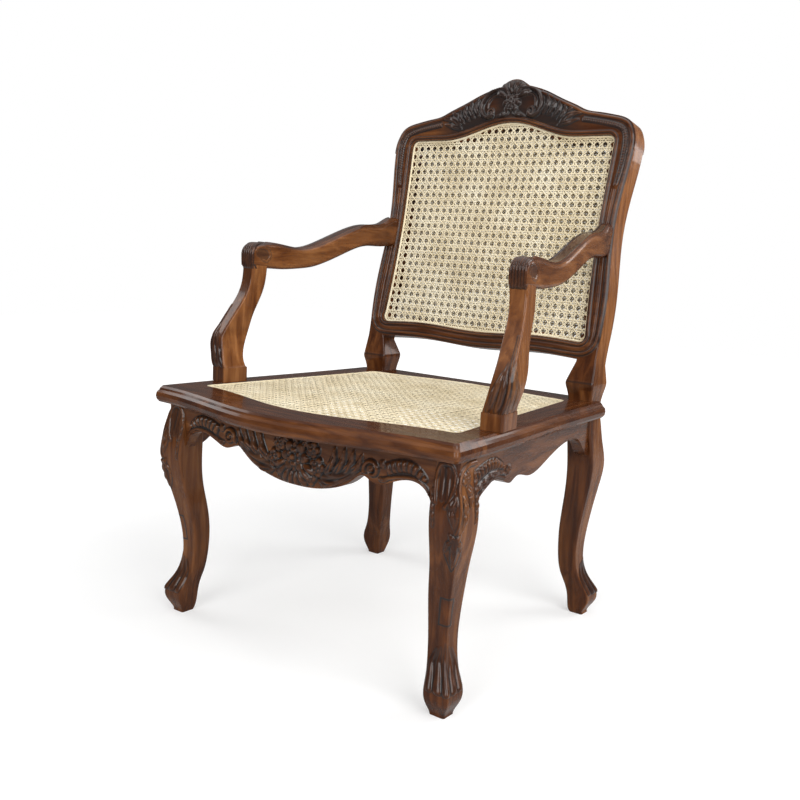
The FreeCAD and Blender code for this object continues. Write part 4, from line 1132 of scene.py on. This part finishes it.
def corner_ray(x, y, z, front, a):
    """Ray at a place a along two flats that meet in a corner at x, y; front is -1, rear is 1."""
    turn = math.radians(45 + 45 * max(-1, min(1, a / 12)))
    into = Vector((-math.sin(turn), -front * math.cos(turn), 0))
    return Vector((x + min(a, 0), y - front * max(a, 0), z)) - into * NEAR, into


def leg_ray(middle, sways, sides):
    """Rays onto the outer corner of a swaying leg; a front leg stands in front of y = 0."""
    front = math.copysign(1, middle[1])

    def ray(a, z):
        reach = np.interp(z, LEG_HEIGHTS, sways) * SLANT + np.interp(z, LEG_HEIGHTS, sides) / 2
        return corner_ray(middle[0] + reach, middle[1] + front * reach, z, front, a)
    return ray


front_leg_ray = leg_ray(FRONT_LEG, FRONT_SWAY, FRONT_SIDES)
rear_leg_ray = leg_ray(REAR_LEG, REAR_SWAY, REAR_SIDES)
knee = Drawing(-50, 50, 136, 402, (1.2, 1.3))
knee.zone = knee.a < np.interp(knee.b, LEG_HEIGHTS, FRONT_SIDES) - 2.5
bead(knee, smooth_line([
    (-42, 338), (-43, 372), (-37, 391), (-25, 397), (-13, 392), (-9, 374), (-16, 346), (-24, 334),
]), 2.4, 2.6)
for spot in (-32, -22):
    bead(knee, [(spot, 388), (spot + 1, 344)], 4.6, 1.6, 0.5)
lobe_row(knee, [(-47, 372), (-47, 335), (-45, 300)], 3.8, 3.0, 6)
bead(knee, smooth_line([
    (44, 397), (24, 396), (9, 386), (1, 366), (4, 342), (3, 318), (-4, 298),
]), 4.6, 5.0, 0.55)
leaf(knee, [(-6, 352), (-13, 332), (-8, 304)], 6.5, 4.5, 3)
leaf(knee, [(12, 350), (17, 328), (10, 300)], 6.5, 4.5, 3)
flower(knee, (21, 376), 11, 5, 5.0)
leaf(knee, [(20, 366), (30, 352), (27, 332)], 7, 4.5, 3)
flower(knee, (16, 316), 6, 5, 3.5)
lobe_row(knee, [(45, 384), (46, 346), (44, 306)], 4.6, 3.4, 7)
for middle, tip in (
    ((-14, 280), (-20, 266)), ((6, 280), (12, 266)), ((-10, 291), (-15, 297)), ((2, 291), (7, 297)),
):
    leaf(knee, [(-4, 286), middle, tip], 5.0, 4.2, 2)
leaf(knee, [(-4, 290), (-4, 268), (-4, 240)], 6.5, 5.0, 3)
cut_line(knee, [(-20, 262), (-12, 248), (-4, 236), (5, 248), (13, 264)], 0.7, 1.0)
cut_line(knee, [(-16, 142), (10, 142), (11, 187), (-16, 187), (-16, 142)], 0.9, 1.0)
carve_pair("knee_carving", knee, ["front_leg_"], front_leg_ray, legs, 0.4)

# %% [markdown]
# Every foot is fluted above the toe: tapered ridges that swell towards the toe, with dark hollows
# between. One drawing is laid on all four, round the outer corner of each.

# %% Flute the feet
foot = Drawing(-40, 40, 40, 118, (1.2, 1.3))
for spot, half in ((-32, 6.5), (-16.5, 7.5), (0, 8.0), (16.5, 7.5), (32, 6.5)):
    ridge = [(spot * 1.04, 48), (spot * 0.9, 76), (spot * 0.55, 113 - abs(spot) * 0.3)]
    bead(foot, ridge, half, 3.6, 0.85)
carve_pair("front_foot_flutes", foot, ["front_leg_"], front_leg_ray, legs, 0.45)
carve_pair("rear_foot_flutes", foot, ["rear_post_"], rear_leg_ray, legs, 0.45, flip=True)

# %% [markdown]
# ## Arms and supports
#
# The top of each arm is dished between two beads that draw together towards the back. The drawing
# follows the slanting middle line of the arm, so its beads need no curve of their own.

# %% Dish the arms
HIGH = 900  # start of a ray, in mm above the floor


def arm_ray(a, y):
    """Down onto the right arm, at a distance a from its middle line."""
    return Vector((ARM_MIDDLE + y * ARM_SLOPE + a, y, HIGH)), Vector((0, 0, -1))


arm = Drawing(-17, 17, -92, 262, (0.9, 3.0))
spread = 12.2 - 5.5 * np.clip((arm.b - 110) / 150, 0, 1) ** 1.5 - 3.0 * np.clip((-70 - arm.b) / 25, 0, 1)
for edge in (-1, 1):
    across = np.abs(arm.a - edge * spread) / 2.4
    arm.raise_to(2.0 * dome(across), across < 1)
dish = np.abs(arm.a) < spread
arm.raise_to(0.25, dish)
arm.line = np.where(dish, 0.25 + 0.6 * np.clip(1 - (spread - np.abs(arm.a) - 2.0) / 2.5, 0, 1), 0)
carve_pair("arm_dish", arm, ["arm_rest_"], arm_ray, arms, 0.0)

# %% [markdown]
# The knuckle is reeded over its front, so its drawing is wrapped: it starts on top of the arm, goes
# round the front and ends on the support below.

# %% Reed the knuckles
KNUCKLE, KNUCKLE_RADIUS, KNUCKLE_CLEAR = Vector((300, -90, 665)), 32, 90
TURN_END, DROP_START = 50, 50.3


def knuckle_ray(a, run):
    """From the top of the arm round its front and down the support."""
    turn = math.radians(90) + min(run, TURN_END) / KNUCKLE_RADIUS
    outward = Vector((0, math.cos(turn), math.sin(turn)))
    return KNUCKLE + Vector((a, 0, -max(run - DROP_START, 0))) + outward * KNUCKLE_CLEAR, -outward


knuckle = Drawing(-17, 17, 8, 68, (0.8, 1.4))
fade = np.clip((knuckle.b - 8) / 12, 0, 1) * np.clip((68 - knuckle.b) / 26, 0, 1)
reed = dome((knuckle.a + 17) % 5.6 / 2.8 - 1)
knuckle.raise_to(2.6 * reed * fade ** 0.5, (np.abs(knuckle.a) < 15.5) & (fade > 0.02))
carve_pair("knuckle_reeds", knuckle, ["arm_rest_", "arm_support_"], knuckle_ray, arms, 0.5)

# %% [markdown]
# On both sides of the knuckle a hooked bead curls round a hollow. The hollow is not sunk: it is a flat
# film, darkened with glaze and with its shade painted in. One drawing serves both: rays from the side
# of the chair lay it on the outer face, and rays from the middle of the chair on the inner one.

# %% Hooked curls on the arms
def inner_ray(y, z):
    """From the middle of the chair outwards."""
    return Vector((0, y, z)), Vector((1, 0, 0))


HOOK = [(-112, 688), (-100, 690), (-88, 684), (-84, 673), (-91, 664), (-101, 666)]
curl = Drawing(-117, -40, 648, 698, (1.2, 1.2))
bead(curl, smooth_line(HOOK), 3.2, 2.0, 0.5)
hollow = np.abs(curl.follow([(-107, 682), (-95, 673)])[1])
# the hollow is a flat film; its dark is glaze and painted shade
curl.raise_to(0.32, hollow < 10)
curl.line = np.clip((9 - hollow) / 5, 0, 1) * 0.55
carve_pair("arm_outer_curl", curl, ["arm_rest_"], side_ray, arms, 0.25)
carve_pair("arm_inner_curl", curl, ["arm_rest_"], inner_ray, arms, 0.25, flip=True)

# %% [markdown]
# Tall leaves stand round the lower part of each support. Like the knees, it is carved round its outer
# corner, whose place is read off tables.

# %% Leaves on the supports
STEM_HEIGHTS = (460, 479, 502, 517, 538, 568, 595, 621, 658)
STEM_FRONTS = (-183.5, -184.6, -184.1, -181.9, -170.3, -149.9, -133, -123, -120.8)
STEM_SIDES = (323, 330, 334, 333, 330, 326, 323, 322, 320)


def stem_ray(a, z):
    """Onto the outer front corner of the right support."""
    x, y = (np.interp(z, STEM_HEIGHTS, places) for places in (STEM_SIDES, STEM_FRONTS))
    return corner_ray(x, y, z, -1, a)


stem = Drawing(-31, 48, 459, 580, (1.2, 1.3))
bead(stem, smooth_line([(-1, 461), (1, 500), (-1, 540), (-3, 578)]), 3.4, 2.6, 0.4)
for spine, half in (
    ([(-25, 461), (-24, 492), (-12, 528)], 6.0), ([(-11, 461), (-11, 494), (-8, 540)], 6.0),
    ([(16, 461), (14, 494), (7, 540)], 7.5), ([(34, 461), (28, 492), (12, 526)], 8.0),
):
    leaf(stem, spine, half, 3.6, 2)
carve_pair("support_leaves", stem, ["arm_support_"], stem_ray, supports, 0.5)

# %% [markdown]
# ## Studio
#
# The chair stands on a pale floor in front of a white ground. Five broad soft lamps light it: the key
# from the right, a fill from the front, one from behind, and weak ones from above and from the left, so
# that the other sides look right too. The ground is white to the lens and, from overhead, in the
# polish, but gives little light of its own, so the colours come out about as they are written. The
# floor is lifted to white for the lens, the more the further away, and so keeps the shadow near the
# chair and shows no horizon.

# %% Floor
FLOOR_HALF, WHITE = 6, (1, 1, 1, 1)
NEAR_LIFT, LIFT_START, LIFT_SLOPE = 0.42, 0.6, 0.35

floor_shape = bmesh.new()
bmesh.ops.create_grid(floor_shape, x_segments=1, y_segments=1, size=FLOOR_HALF)
floor = new_object("floor", floor_shape)

pale, floor_start = new_finish("pale_floor")
seen = floor_start.node("LightPath", out="Is Camera Ray")
lit = floor_start.node("BsdfDiffuse", {"Color": (0.60, 0.60, 0.60, 1)})
spot = floor_start.node("TexCoord", out="Object")
away = floor_start.node("VectorMath", {0: spot}, out="Value", operation="LENGTH")
lifted_by = NEAR_LIFT + away.past(LIFT_START, LIFT_SLOPE) * (1 - NEAR_LIFT)
lift = floor_start.node("Emission", {"Color": WHITE, "Strength": seen * lifted_by})
both = floor_start.node("AddShader", {0: lit, 1: lift})
floor_start.node("OutputMaterial", {"Surface": both})
polish(floor, pale)
print("floor", 2 * FLOOR_HALF, "m wide")

# %% Ground and lamps
GROUND_LIGHT = 0.15
world = bpy.data.worlds.new("ground")
world.use_nodes = True
world.node_tree.nodes.clear()
ground = Tone(world.node_tree)
shown = ground.node("LightPath", out="Is Camera Ray")
mirrored_in = ground.node("LightPath", out="Is Glossy Ray")
seen_through = ground.node("LightPath", out="Is Transmission Ray")
overhead = ground.node("TexCoord", out="Generated").axis("Z").past(0.45, 3.0)
white = (shown + seen_through + mirrored_in * overhead).clamped()
light = ground.node("Background", {"Color": WHITE, "Strength": GROUND_LIGHT + white * (1 - GROUND_LIGHT)})
ground.node("OutputWorld", {"Surface": light})
scene.world = world


def soft_lamp(name, place, aim, side, power):
    """A square lamp that looks at a point."""
    lamp = bpy.data.lights.new(name, "AREA")
    lamp.size = side
    lamp.energy = power
    made = bpy.data.objects.new(name, lamp)
    turn = (Vector(aim) - Vector(place)).to_track_quat("-Z", "Y")
    made.matrix_world = Matrix.Translation(place) @ turn.to_matrix().to_4x4()
    scene.collection.objects.link(made)


LAMPS = {
    "key": ((2.6, -0.9, 1.9), (0, 0, 0.5), 2.2, 76),
    "fill": ((0.5, -2.9, 1.5), (0, 0, 0.5), 1.6, 48),
    "top": ((0.1, 0.2, 2.8), (0, 0, 0.4), 2.6, 26),
    "rear": ((2.0, 2.4, 1.7), (0, 0.2, 0.6), 1.6, 42),
    "left": ((-2.8, -0.3, 1.8), (0, 0, 0.5), 1.6, 26),
}
for name, settings in LAMPS.items():
    soft_lamp(name, *settings)
print("studio:", len(LAMPS), "lamps")
